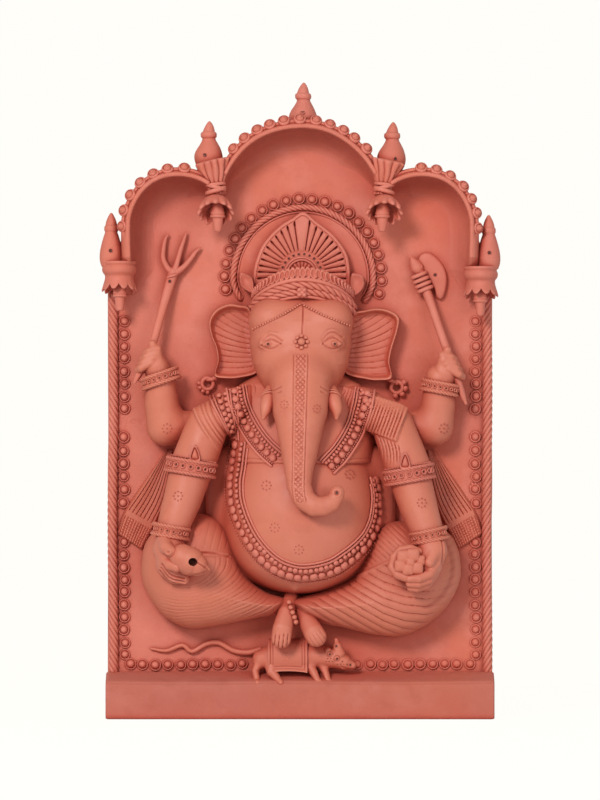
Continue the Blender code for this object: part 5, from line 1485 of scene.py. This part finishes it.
def make_tusks():
    for side, name in SIDES:
        path = [(side * 27 + 1, 50, 313, 8.2), (side * 31 + 1, 60, 304, 7.4), (side * 33.6 + 1, 65, 296, 5.6),
                (side * 34.6, 66.5, 288.5, 2.2)]
        lump = Lump().add(tapered(path, 1.0, 24))
        for x, d, z, radius in curve(path, 1.0)[[6, 9]]:
            r = radius + 0.2
            lump.add(hoop((x, d, z), (r, 0, 0), (0, 0.85 * r, 0.7 * r), 0.9, 8))
        lump.settle(name + "_tusk", "burnished clay")


def crown_line(rise, proud, count=150, first=-1.5, last=1.5):
    """Line round the crown at a height over the braid, with the direction that faces outwards."""
    turn = np.linspace(first, last, count)
    out = xyz(np.sin(turn), np.cos(turn), 0)
    drop = 390.6 + 20.8 * np.cos(turn) ** 1.6
    place = xyz(2.6 + (46 + proud) * np.sin(turn), 16 + (28 + proud) * np.cos(turn), drop + rise)
    return place, out


def make_crown_band():
    lump = Lump()
    rings = []
    for a, b in zip(*crown_line(0, 0)):
        section = [(-12, -9), (0.5, -8.6), (1.6, -6), (1.6, 5.6), (2.6, 6.6), (3.4, 8.2), (3.2, 10.0),
                   (2.0, 11.2), (0.6, 12), (0.2, 19), (-1.6, 19.6), (-12, 19)]
        rings.append([a + b * out + np.array([0, 0, up]) for out, up in section])
    lump.add(capped(rings))
    for rise, radius in ((-2.9, 3.6), (3.0, 3.8)):
        lump.add(rope(curve(crown_line(rise, 2.6, 80)[0], 0.45), radius, 3, 1.0, 48, 0.46))
    lump.add(tube(crown_line(-7.4, 1.8)[0], 1.8, 10))
    place, out = crown_line(15.2, 1.9, 29, -1.46, 1.46)
    lump.add(stamps(RINGLET, place, out, [[2.9, 5.8, 3.4]], -0.7 * out[:, 0]))
    place, out = crown_line(12.0, 3.6, 41, -1.46, 1.46)
    lump.add(pits_at(place[::3], out[::3], 0.7))
    knob = [[1.8, 48.6, 407.8]]
    lump.add(stamps(BALL, knob, FORWARD, [[5.4, 5.6, 4.2]]))
    cross = [(1.8 + 2.3 * i, 51.6, 407.8 + 2.3 * k) for i in (-1, 1) for k in (-1, 1)]
    lump.add(stamps(BALL, cross, FORWARD, 2.2))
    lump.lay().settle("crown_band", "ornament clay")


def make_feet():
    shapes = {-1: [(-9, 22, 116, 6.5), (-13, 35, 102, 8.0), (-16.6, 41, 87, 9.6), (-18, 41, 77.5, 9.4)],
              1: [(1.6, 25, 106, 6.5), (7, 33, 94, 8.6), (13, 40, 83.6, 9.8), (15.6, 40.5, 79.4, 9.8)]}
    for side, name in SIDES:
        shape = shapes[side]

        def field(x, d, z):
            return bar(x, d, z, shape, 1.25)

        def toes(x, z, d):
            if side < 0:
                u, zone = x + 18 - 0.1 * (z - 77), ramp((84 - z) / 3)
            else:
                u, zone = (x - 15.6) * 0.82 + (z - 79.4) * 0.58, ramp((86 - z + 0.7 * (x - 15)) / 4)
            return pleats((u + 2) / 4.2, 1.2 if side < 0 else 0.6, 0.35) * zone

        low, high = np.array(shape)[:, 0].min() - 13, np.array(shape)[:, 0].max() + 13
        lump = Lump().add(sculpt(field, (low, 14, 62), (high, 56, 126), toes, FINE * 0.8, False)).lay()
        if side < 0:
            beads = np.array([(-10.4, 112.6), (-9, 107.4), (-7.2, 102.6), (-5.4, 98), (-4, 93.4)])
            depth = np.maximum(FRONT.depth(*beads.T), 40)
            lump.add(stamps(BALL, xyz(beads[:, 0], depth + 0.8, beads[:, 1]), FORWARD, 2.6))
        lump.settle(name + "_foot", "burnished clay")


def make_mouse():
    def field(x, d, z):
        body = bar(x, d, z, [(-36, 12, 57, 9.6), (-24, 13, 60, 12), (-5, 13, 61, 12), (10, 13, 60, 12),
                             (20, 15, 60, 10.4), (31, 17, 59, 10.4), (42, 18, 54.5, 7.4),
                             (49.6, 18, 51.4, 4.4)])
        for line in ([(-38, 14, 56, 5), (-43, 18, 46, 3.2), (-41, 22, 36.6, 3.0), (-40.6, 26, 34.6, 2.8)],
                     [(-28, 18, 54, 7), (-27, 22, 45, 5), (-21, 25, 38, 3.4), (-18.4, 28, 35.2, 2.8)],
                     [(8, 18, 53, 5), (13.4, 22, 44, 3.8), (16.6, 25, 37.4, 3.0), (18.4, 25.6, 36, 2.6)],
                     [(21, 16, 53, 5), (24.6, 20, 44, 3.4), (26.6, 23, 37.4, 3.0), (28.4, 23.6, 36, 2.6)]):
            body = meld(body, bar(x, d, z, line), 2.4)
        for line in ([(36.6, 21, 63, 7), (35.6, 22.6, 70, 4.6), (34.6, 23, 76, 1.8)],
                     [(27, 24, 64, 4), (27, 25, 66, 3)]):
            body = meld(body, bar(x, d, z, line), 1.2)
        return body

    def lines(x, z, d):
        out = 0.0
        for ex, ez in MOUSE_EYES:
            out = out - 0.8 * bell((np.hypot(x - ex, z - ez) - 2.8) / 0.6)
        return out + groove(x, z, [(51, 47.8), (45, 48), (40, 50)], 0.7, 0.8)

    lump = Lump().add(sculpt(field, (-54, -1, 31), (58, 36, 82), lines, FINE * 0.85)).lay()
    dots = [(25 + 3.1 * (k % 8) + (k // 8 % 2) * 1.5, 49.6 + 2.8 * (k // 8)) for k in range(40)]
    dots = [(x, z) for x, z in dots if min(math.hypot(x - ex, z - ez) for ex, ez in MOUSE_EYES) > 4
            and 54 - 0.2 * (x - 25) < z < 79 - 0.55 * x]
    lump.add(pits(HOLE, dots, 0.55))
    lump.add(pits(HOLE, [(34.8, 70), *MOUSE_EYES, (48, 52)], 1.15, 0.1))
    lump.settle("mouse", "burnished clay")


def make_saddle():
    u, v = np.linspace(-30.5, 7, 60), np.linspace(0, 1, 48)
    rings, tones = [], []
    for x in u:
        z = 77 - 31 * v
        bow = 4.5 * ((x + 12) / 19) ** 2
        d = 13 + 13.2 * np.sqrt(ramp(1 - ((z - 61) / 16.5) ** 2)) + 1.2
        d = np.where(z < 61, np.maximum(d, 24 + (61 - z) * 0.15), d)
        z = np.where(z < 60, z - bow * 0.35 * (60 - z) / 14, z)
        edge = np.minimum(np.minimum(x + 30.5, 7 - x), z - z[-1])
        cut = bell((edge - 2.4) / 0.6) + bell((edge - 4.8) / 0.6)
        flower = np.hypot(x + 14, z - 60)
        petal = 0.8 * bell((flower - 2.8) / 1.0) * (0.6 + 0.4 * np.cos(6 * np.arctan2(z - 60, x + 14)))
        front = xyz(x, d - 0.8 * cut + petal + 0.7 * bell(flower / 1.2), z)
        back = xyz(x, d - 2.2, z + 0.01)[::-1]
        rings.append(np.vstack([front, back]))
        # Tone for shade painted in the cut lines along the hem
        tones.append(np.concatenate([0.8 * cut, np.zeros(48)]))
    Lump().add(capped(rings, tones)).lay().settle("saddle_cloth", "cloth clay")


def make_tail():
    line = [(-142.4, 2, 66.6, 1.3), (-128, 2.2, 64.8, 2.0), (-113, 2.4, 70, 2.3), (-103.5, 2.4, 64.2, 2.4),
            (-90, 2.5, 71.2, 2.5), (-78, 2.6, 72.4, 2.6), (-64, 2.8, 65, 2.8), (-50, 3.2, 63.2, 2.9),
            (-38, 6, 66, 2.8)]
    Lump().add(tapered(line, 1.2, 12)).settle("mouse_tail", "burnished clay")


# Finishes

def make_clays(clay):
    """Procedural terracotta finishes: blotches, flecks, grit and paler sharp edges, with painted shade that
    reddens hollows and darkens grooves, creases and pits.
    """
    # Colour, brightness, roughness, grit, mottle, and the open share at which painted shade starts to redden
    # a hollow
    finishes = {
        "slab clay": (clay.ground, 1.0, 0.72, 0.5, 1.5, 0.8),
        "plinth clay": (clay.ground, 0.81, 0.74, 0.55, 1.0, 0.62),
        "canopy clay": (clay.ground, 0.98, 0.62, 0.45, 1.0, 0.8),
        "ornament clay": (clay.ground, 0.98, 0.6, 0.4, 1.0, 0.8),
        "burnished clay": (clay.body, 0.96, 0.48, 0.28, 0.6, 0.92),
        "cloth clay": (clay.body, 0.95, 0.55, 0.3, 0.8, 0.92),
    }
    for name, (colour, gain, rough, grit, mottle, shade) in finishes.items():
        material = bpy.data.materials.new(name)
        material.use_nodes = True
        nodes, links = material.node_tree.nodes, material.node_tree.links
        shader = nodes["Principled BSDF"]
        place = nodes.new("ShaderNodeTexCoord").outputs["Object"]

        def noise(scale, detail):
            node = nodes.new("ShaderNodeTexNoise")
            node.inputs["Scale"].default_value = scale
            node.inputs["Detail"].default_value = detail
            node.inputs["Roughness"].default_value = 0.55
            links.new(place, node.inputs["Vector"])
            return node.outputs["Fac"]

        def span(source, a, b, c, d):
            node = nodes.new("ShaderNodeMapRange")
            for key, value in zip(("From Min", "From Max", "To Min", "To Max"), (a, b, c, d)):
                node.inputs[key].default_value = value
            links.new(source, node.inputs["Value"])
            return node.outputs["Result"]

        def mix(factor, first, second):
            node = nodes.new("ShaderNodeMix")
            node.data_type = "RGBA"
            for socket, value in ((node.inputs[0], factor), (node.inputs[6], first),
                                  (node.inputs[7], second)):
                if isinstance(value, bpy.types.NodeSocket):
                    links.new(value, socket)
                else:
                    socket.default_value = value
            return node.outputs[2]

        def hollow(reach):
            node = nodes.new("ShaderNodeAmbientOcclusion")
            node.samples = 8
            node.inputs["Distance"].default_value = reach
            return node.outputs["AO"]

        base = [min(1.0, c * gain) for c in colour]
        warm = (base[0] * 1.06, base[1], base[2] * 0.86, 1)
        pale = (min(1, base[0] * 1.2), base[1] * 1.42, base[2] * 1.5, 1)
        deep = (base[0] * 0.8, base[1] * 0.66, base[2] * 0.62, 1)
        # Near-black painted shade for needle holes, eyes and openings
        painted_pit_shade = (0.06, 0.014, 0.008, 1)
        tint = mix(span(noise(11, 3), 0.35, 0.68, 0, 0.8 * mottle), (*base, 1), warm)
        tint = mix(span(noise(26, 4), 0.5, 0.75, 0, 0.55 * mottle), tint, pale)
        tint = mix(span(noise(60, 3), 0.55, 0.8, 0, 0.4), tint, deep)
        if name == "slab clay":
            # Painted light: the slab pales towards its left side, where the key lamp stands
            painted_light_side = nodes.new("ShaderNodeSeparateXYZ")
            links.new(place, painted_light_side.inputs[0])
            tint = mix(span(painted_light_side.outputs["X"], -0.04, -0.13, 0, 0.42), tint, pale)
        tint = mix(span(noise(900, 2), 0.62, 0.8, 0, 0.35), tint, pale)
        fleck = nodes.new("ShaderNodeTexVoronoi")
        fleck.inputs["Scale"].default_value = 160
        links.new(place, fleck.inputs["Vector"])
        tint = mix(span(fleck.outputs["Distance"], 0.05, 0.11, 0.5, 0), tint, deep)
        pale_edges_and_crease_shade = nodes.new("ShaderNodeNewGeometry").outputs["Pointiness"]
        # Sharp edges turn paler, and painted shade darkens concave creases
        tint = mix(span(pale_edges_and_crease_shade, 0.51, 0.57, 0, 0.5), tint, pale)
        tint = mix(span(pale_edges_and_crease_shade, 0.49, 0.42, 0, 0.45), tint, (*clay.painted_shade, 1))
        # Painted shade: where little is open within 7 cm, in hollows and between parts, the clay turns a deep
        # reddish colour standing in for shadow and light bounced between clay
        tint = mix(span(hollow(0.07), shade, 0.34, 0, 0.88), tint, (*clay.red, 1))
        # Painted shade: narrow crevices within 9 mm darken
        tint = mix(span(hollow(0.009), 0.75, 0.25, 0, 0.6), tint, (*clay.painted_shade, 1))
        # Painted shade by the groove tone: carved grooves, rope valleys, slots and hood coves darken, and
        # holes go near-black
        cut = nodes.new("ShaderNodeAttribute")
        cut.attribute_name = "groove"
        tint = mix(span(cut.outputs["Fac"], 0.15, 1.1, 0, 0.7), tint, (*clay.painted_shade, 1))
        tint = mix(span(cut.outputs["Fac"], 2.0, 2.8, 0, 0.95), tint, painted_pit_shade)
        links.new(tint, shader.inputs["Base Color"])
        links.new(span(noise(45, 4), 0.3, 0.7, rough - 0.06, rough + 0.14), shader.inputs["Roughness"])
        shader.inputs["Specular IOR Level"].default_value = 0.35
        height = mix(0.35, noise(140, 4), noise(1100, 3))
        bump = nodes.new("ShaderNodeBump")
        bump.inputs["Strength"].default_value = grit
        bump.inputs["Distance"].default_value = 0.0012
        links.new(height, bump.inputs["Height"])
        links.new(bump.outputs["Normal"], shader.inputs["Normal"])


# Stage

def straight_rays(nodes, links):
    """One for rays from the camera and for mirror and glass rays."""
    path = nodes.new("ShaderNodeLightPath")
    total = path.outputs["Is Camera Ray"]
    for kind in ("Is Glossy Ray", "Is Transmission Ray"):
        both = nodes.new("ShaderNodeMath")
        both.operation = "MAXIMUM"
        links.new(total, both.inputs[0])
        links.new(path.outputs[kind], both.inputs[1])
        total = both.outputs[0]
    return total


def make_stage(clay):
    scene = bpy.context.scene
    camera = bpy.data.objects.new("camera", bpy.data.cameras.new("camera"))
    camera.data.sensor_fit = "VERTICAL"
    camera.data.sensor_height = 36
    away, view_height, level = 7.0, 0.768, 0.3053
    camera.data.lens = camera.data.sensor_height * away / view_height
    camera.location = (0.0, -away, level)
    camera.rotation_euler = (math.pi / 2, 0, 0)
    scene.collection.objects.link(camera)
    scene.camera = camera

    def lamp(name, place, aim, power, size):
        data = bpy.data.lights.new(name, "AREA")
        data.shape, data.size, data.energy = "DISK", size, power
        thing = bpy.data.objects.new(name, data)
        thing.location = place
        away_from = [a - b for a, b in zip(aim, place)]
        flat = math.hypot(away_from[0], away_from[1])
        thing.rotation_euler = (math.atan2(flat, -away_from[2]), 0, math.atan2(-away_from[0], away_from[1]))
        scene.collection.objects.link(thing)

    lamp("key", (-2.4, -5.7, 3.2), (0, 0, 0.3), 303, 1.8)
    lamp("fill", (2.2, -3.6, 0.4), (0, 0, 0.3), 44, 2.2)

    world = bpy.data.worlds.new("studio")
    scene.world = world
    world.use_nodes = True
    nodes, links = world.node_tree.nodes, world.node_tree.links
    sky = nodes["Background"]
    sky.inputs["Color"].default_value = (1, 1, 1, 1)
    sky.inputs["Strength"].default_value = 0.36
    seen = nodes.new("ShaderNodeBackground")
    seen.inputs["Color"].default_value = (*clay.air, 1)
    pick = nodes.new("ShaderNodeMixShader")
    links.new(straight_rays(nodes, links), pick.inputs[0])
    links.new(sky.outputs[0], pick.inputs[1])
    links.new(seen.outputs[0], pick.inputs[2])
    links.new(pick.outputs[0], nodes["World Output"].inputs["Surface"])

    mesh = bpy.data.meshes.new("floor")
    mesh.from_pydata([(-6, -6, 0), (6, -6, 0), (6, 6, 0), (-6, 6, 0)], [], [(0, 1, 2, 3)])
    floor = bpy.data.objects.new("floor", mesh)
    floor.location = (0, 0, -0.0002)
    scene.collection.objects.link(floor)
    paper = bpy.data.materials.new("paper floor")
    paper.use_nodes = True
    nodes, links = paper.node_tree.nodes, paper.node_tree.links
    shader = nodes["Principled BSDF"]
    shader.inputs["Base Color"].default_value = (0.9, 0.9, 0.88, 1)
    shader.inputs["Roughness"].default_value = 0.9
    glow = nodes.new("ShaderNodeEmission")
    glow.inputs["Color"].default_value = (*clay.air, 1)
    glow.inputs["Strength"].default_value = 1.03
    pick = nodes.new("ShaderNodeMixShader")
    part = nodes.new("ShaderNodeMath")
    part.operation = "MULTIPLY"
    part.inputs[1].default_value = 0.95
    links.new(straight_rays(nodes, links), part.inputs[0])
    links.new(part.outputs[0], pick.inputs[0])
    links.new(shader.outputs[0], pick.inputs[1])
    links.new(glow.outputs[0], pick.inputs[2])
    links.new(pick.outputs[0], nodes["Material Output"].inputs["Surface"])
    mesh.materials.append(paper)
    scene.view_settings.view_transform = "Standard"


# Add-on

class PLAQUE_OT_clays(bpy.types.Operator):
    """Mix the clay finishes"""

    bl_idname = "plaque.clays"
    bl_label = "Clay finishes"

    def execute(self, context):
        make_clays(context.scene.plaque_clay)
        return {"FINISHED"}


class PLAQUE_OT_stage(bpy.types.Operator):
    """Set the floor, lamps and camera"""

    bl_idname = "plaque.stage"
    bl_label = "Stage"

    def execute(self, context):
        make_stage(context.scene.plaque_clay)
        return {"FINISHED"}


class PLAQUE_OT_slab(bpy.types.Operator):
    """Model the back slab with its pressed pellets"""

    bl_idname = "plaque.slab"
    bl_label = "Slab"

    def execute(self, context):
        make_slab(context.scene.plaque_sizes)
        return {"FINISHED"}


class PLAQUE_OT_plinth(bpy.types.Operator):
    """Model the plain plinth with its sloping ledge"""

    bl_idname = "plaque.plinth"
    bl_label = "Plinth"

    def execute(self, context):
        make_plinth()
        return {"FINISHED"}


class PLAQUE_OT_ropes(bpy.types.Operator):
    """Roll the border ropes and the halo rope with its pellets"""

    bl_idname = "plaque.ropes"
    bl_label = "Ropes"

    def execute(self, context):
        make_ropes(context.scene.plaque_sizes)
        make_halo()
        return {"FINISHED"}


class PLAQUE_OT_hoods(bpy.types.Operator):
    """Model the three coved hoods with their edge pellets"""

    bl_idname = "plaque.hoods"
    bl_label = "Hoods"

    def execute(self, context):
        make_hoods(context.scene.plaque_sizes)
        return {"FINISHED"}


class PLAQUE_OT_turned(bpy.types.Operator):
    """Turn the finials, corbels, scalloped cups, corner pots and corner bells"""

    bl_idname = "plaque.turned"
    bl_label = "Turned ornaments"

    def execute(self, context):
        make_finials()
        make_corbels()
        make_pendants()
        make_corner_pots()
        make_corner_bells()
        return {"FINISHED"}


class PLAQUE_OT_sashes(bpy.types.Operator):
    """Comb the two pleated sashes"""

    bl_idname = "plaque.sashes"
    bl_label = "Sashes"

    def execute(self, context):
        make_sashes()
        return {"FINISHED"}


class PLAQUE_OT_raised_arms(bpy.types.Operator):
    """Model the two raised arms with their bands"""

    bl_idname = "plaque.raised_arms"
    bl_label = "Raised arms"

    def execute(self, context):
        make_raised_arms(context.scene.plaque_sizes)
        return {"FINISHED"}


class PLAQUE_OT_tools(bpy.types.Operator):
    """Model what the raised hands hold"""

    bl_idname = "plaque.tools"
    bl_label = "Trident and axe"

    def execute(self, context):
        make_trident()
        make_axe()
        return {"FINISHED"}


class PLAQUE_OT_raised_hands(bpy.types.Operator):
    """Close the two fists round their shafts"""

    bl_idname = "plaque.raised_hands"
    bl_label = "Raised hands"

    def execute(self, context):
        make_raised_hands()
        return {"FINISHED"}


class PLAQUE_OT_ears(bpy.types.Operator):
    """Model the two dished ears"""

    bl_idname = "plaque.ears"
    bl_label = "Ears"

    def execute(self, context):
        make_ears()
        return {"FINISHED"}


class PLAQUE_OT_earrings(bpy.types.Operator):
    """Hang the two ring earrings"""

    bl_idname = "plaque.earrings"
    bl_label = "Earrings"

    def execute(self, context):
        make_earrings()
        return {"FINISHED"}


class PLAQUE_OT_fan(bpy.types.Operator):
    """Cut the pierced crown fan"""

    bl_idname = "plaque.fan"
    bl_label = "Crown fan"

    def execute(self, context):
        make_fan()
        return {"FINISHED"}


class PLAQUE_OT_leaves(bpy.types.Operator):
    """Set the two side leaves of the crown"""

    bl_idname = "plaque.leaves"
    bl_label = "Crown leaves"

    def execute(self, context):
        make_leaves()
        return {"FINISHED"}


class PLAQUE_OT_legs(bpy.types.Operator):
    """Model the two draped legs"""

    bl_idname = "plaque.legs"
    bl_label = "Legs"

    def execute(self, context):
        make_legs(context.scene.plaque_sizes)
        return {"FINISHED"}


class PLAQUE_OT_torso(bpy.types.Operator):
    """Model the round belly and the chest"""

    bl_idname = "plaque.torso"
    bl_label = "Belly and chest"

    def execute(self, context):
        make_belly(context.scene.plaque_sizes)
        make_chest()
        return {"FINISHED"}


class PLAQUE_OT_garland(bpy.types.Operator):
    """Lay the bead garland over the belly"""

    bl_idname = "plaque.garland"
    bl_label = "Garland"

    def execute(self, context):
        make_garland()
        return {"FINISHED"}


class PLAQUE_OT_sleeves(bpy.types.Operator):
    """Model the two pleated sleeves"""

    bl_idname = "plaque.sleeves"
    bl_label = "Sleeves"

    def execute(self, context):
        make_sleeves(context.scene.plaque_sizes)
        return {"FINISHED"}


class PLAQUE_OT_collar(bpy.types.Operator):
    """Lay the rows of the bead collar"""

    bl_idname = "plaque.collar"
    bl_label = "Collar"

    def execute(self, context):
        make_collar()
        return {"FINISHED"}


class PLAQUE_OT_forearms(bpy.types.Operator):
    """Model the two forearms with their bands"""

    bl_idname = "plaque.forearms"
    bl_label = "Forearms"

    def execute(self, context):
        make_forearms(context.scene.plaque_sizes)
        return {"FINISHED"}


class PLAQUE_OT_armlets(bpy.types.Operator):
    """Bend the two armlets"""

    bl_idname = "plaque.armlets"
    bl_label = "Armlets"

    def execute(self, context):
        make_armlets()
        return {"FINISHED"}


class PLAQUE_OT_lower_hands(bpy.types.Operator):
    """Model the two lower hands"""

    bl_idname = "plaque.lower_hands"
    bl_label = "Lower hands"

    def execute(self, context):
        make_lower_hands()
        return {"FINISHED"}


class PLAQUE_OT_offerings(bpy.types.Operator):
    """Model what the lower hands hold"""

    bl_idname = "plaque.offerings"
    bl_label = "Conch and sweets"

    def execute(self, context):
        make_conch()
        make_sweets()
        return {"FINISHED"}


class PLAQUE_OT_head(bpy.types.Operator):
    """Model the head with its eyes and forehead beads"""

    bl_idname = "plaque.head"
    bl_label = "Head"

    def execute(self, context):
        make_head()
        return {"FINISHED"}


class PLAQUE_OT_crown_band(bpy.types.Operator):
    """Braid the crown band with its frill"""

    bl_idname = "plaque.crown_band"
    bl_label = "Crown band"

    def execute(self, context):
        make_crown_band()
        return {"FINISHED"}


class PLAQUE_OT_tusks(bpy.types.Operator):
    """Model the two ringed tusks"""

    bl_idname = "plaque.tusks"
    bl_label = "Tusks"

    def execute(self, context):
        make_tusks()
        return {"FINISHED"}


class PLAQUE_OT_trunk(bpy.types.Operator):
    """Model the curling trunk with its net strip"""

    bl_idname = "plaque.trunk"
    bl_label = "Trunk"

    def execute(self, context):
        make_trunk(context.scene.plaque_sizes)
        return {"FINISHED"}


class PLAQUE_OT_mouse(bpy.types.Operator):
    """Model the mouse with its pricked head"""

    bl_idname = "plaque.mouse"
    bl_label = "Mouse"

    def execute(self, context):
        make_mouse()
        return {"FINISHED"}


class PLAQUE_OT_saddle(bpy.types.Operator):
    """Lay the mouse's saddle cloth"""

    bl_idname = "plaque.saddle"
    bl_label = "Saddle cloth"

    def execute(self, context):
        make_saddle()
        return {"FINISHED"}


class PLAQUE_OT_tail(bpy.types.Operator):
    """Lay the mouse's wavy tail"""

    bl_idname = "plaque.tail"
    bl_label = "Mouse tail"

    def execute(self, context):
        make_tail()
        return {"FINISHED"}


class PLAQUE_OT_feet(bpy.types.Operator):
    """Model the two feet and the bead tassel"""

    bl_idname = "plaque.feet"
    bl_label = "Feet"

    def execute(self, context):
        make_feet()
        return {"FINISHED"}


STEPS = (
    PLAQUE_OT_clays, PLAQUE_OT_stage, PLAQUE_OT_slab, PLAQUE_OT_plinth, PLAQUE_OT_ropes, PLAQUE_OT_hoods,
    PLAQUE_OT_turned, PLAQUE_OT_sashes, PLAQUE_OT_raised_arms, PLAQUE_OT_tools, PLAQUE_OT_raised_hands,
    PLAQUE_OT_ears, PLAQUE_OT_earrings, PLAQUE_OT_fan, PLAQUE_OT_leaves, PLAQUE_OT_legs, PLAQUE_OT_torso,
    PLAQUE_OT_garland, PLAQUE_OT_sleeves, PLAQUE_OT_collar, PLAQUE_OT_forearms, PLAQUE_OT_armlets,
    PLAQUE_OT_lower_hands, PLAQUE_OT_offerings, PLAQUE_OT_head, PLAQUE_OT_crown_band, PLAQUE_OT_tusks,
    PLAQUE_OT_trunk, PLAQUE_OT_mouse, PLAQUE_OT_saddle, PLAQUE_OT_tail, PLAQUE_OT_feet,
)


class PLAQUE_PT_panel(bpy.types.Panel):
    """Steps and settings of the plaque"""

    bl_label = "Terracotta plaque"
    bl_idname = "PLAQUE_PT_panel"
    bl_space_type = "VIEW_3D"
    bl_region_type = "UI"
    bl_category = "Plaque"

    def draw(self, context):
        for group in (context.scene.plaque_sizes, context.scene.plaque_clay):
            for key in group.__annotations__:
                self.layout.prop(group, key)
        for step in STEPS:
            self.layout.operator(step.bl_idname)


CLASSES = (PlaqueSizes, PlaqueClay) + STEPS + (PLAQUE_PT_panel,)


def register():
    for kind in CLASSES:
        bpy.utils.register_class(kind)
    bpy.types.Scene.plaque_sizes = bpy.props.PointerProperty(type=PlaqueSizes)
    bpy.types.Scene.plaque_clay = bpy.props.PointerProperty(type=PlaqueClay)


def unregister():
    del bpy.types.Scene.plaque_clay
    del bpy.types.Scene.plaque_sizes
    for kind in reversed(CLASSES):
        bpy.utils.unregister_class(kind)


def main():
    register()
    for step in STEPS:
        getattr(bpy.ops.plaque, step.bl_idname.split(".")[1])()


if __name__ == "__main__":
    main()
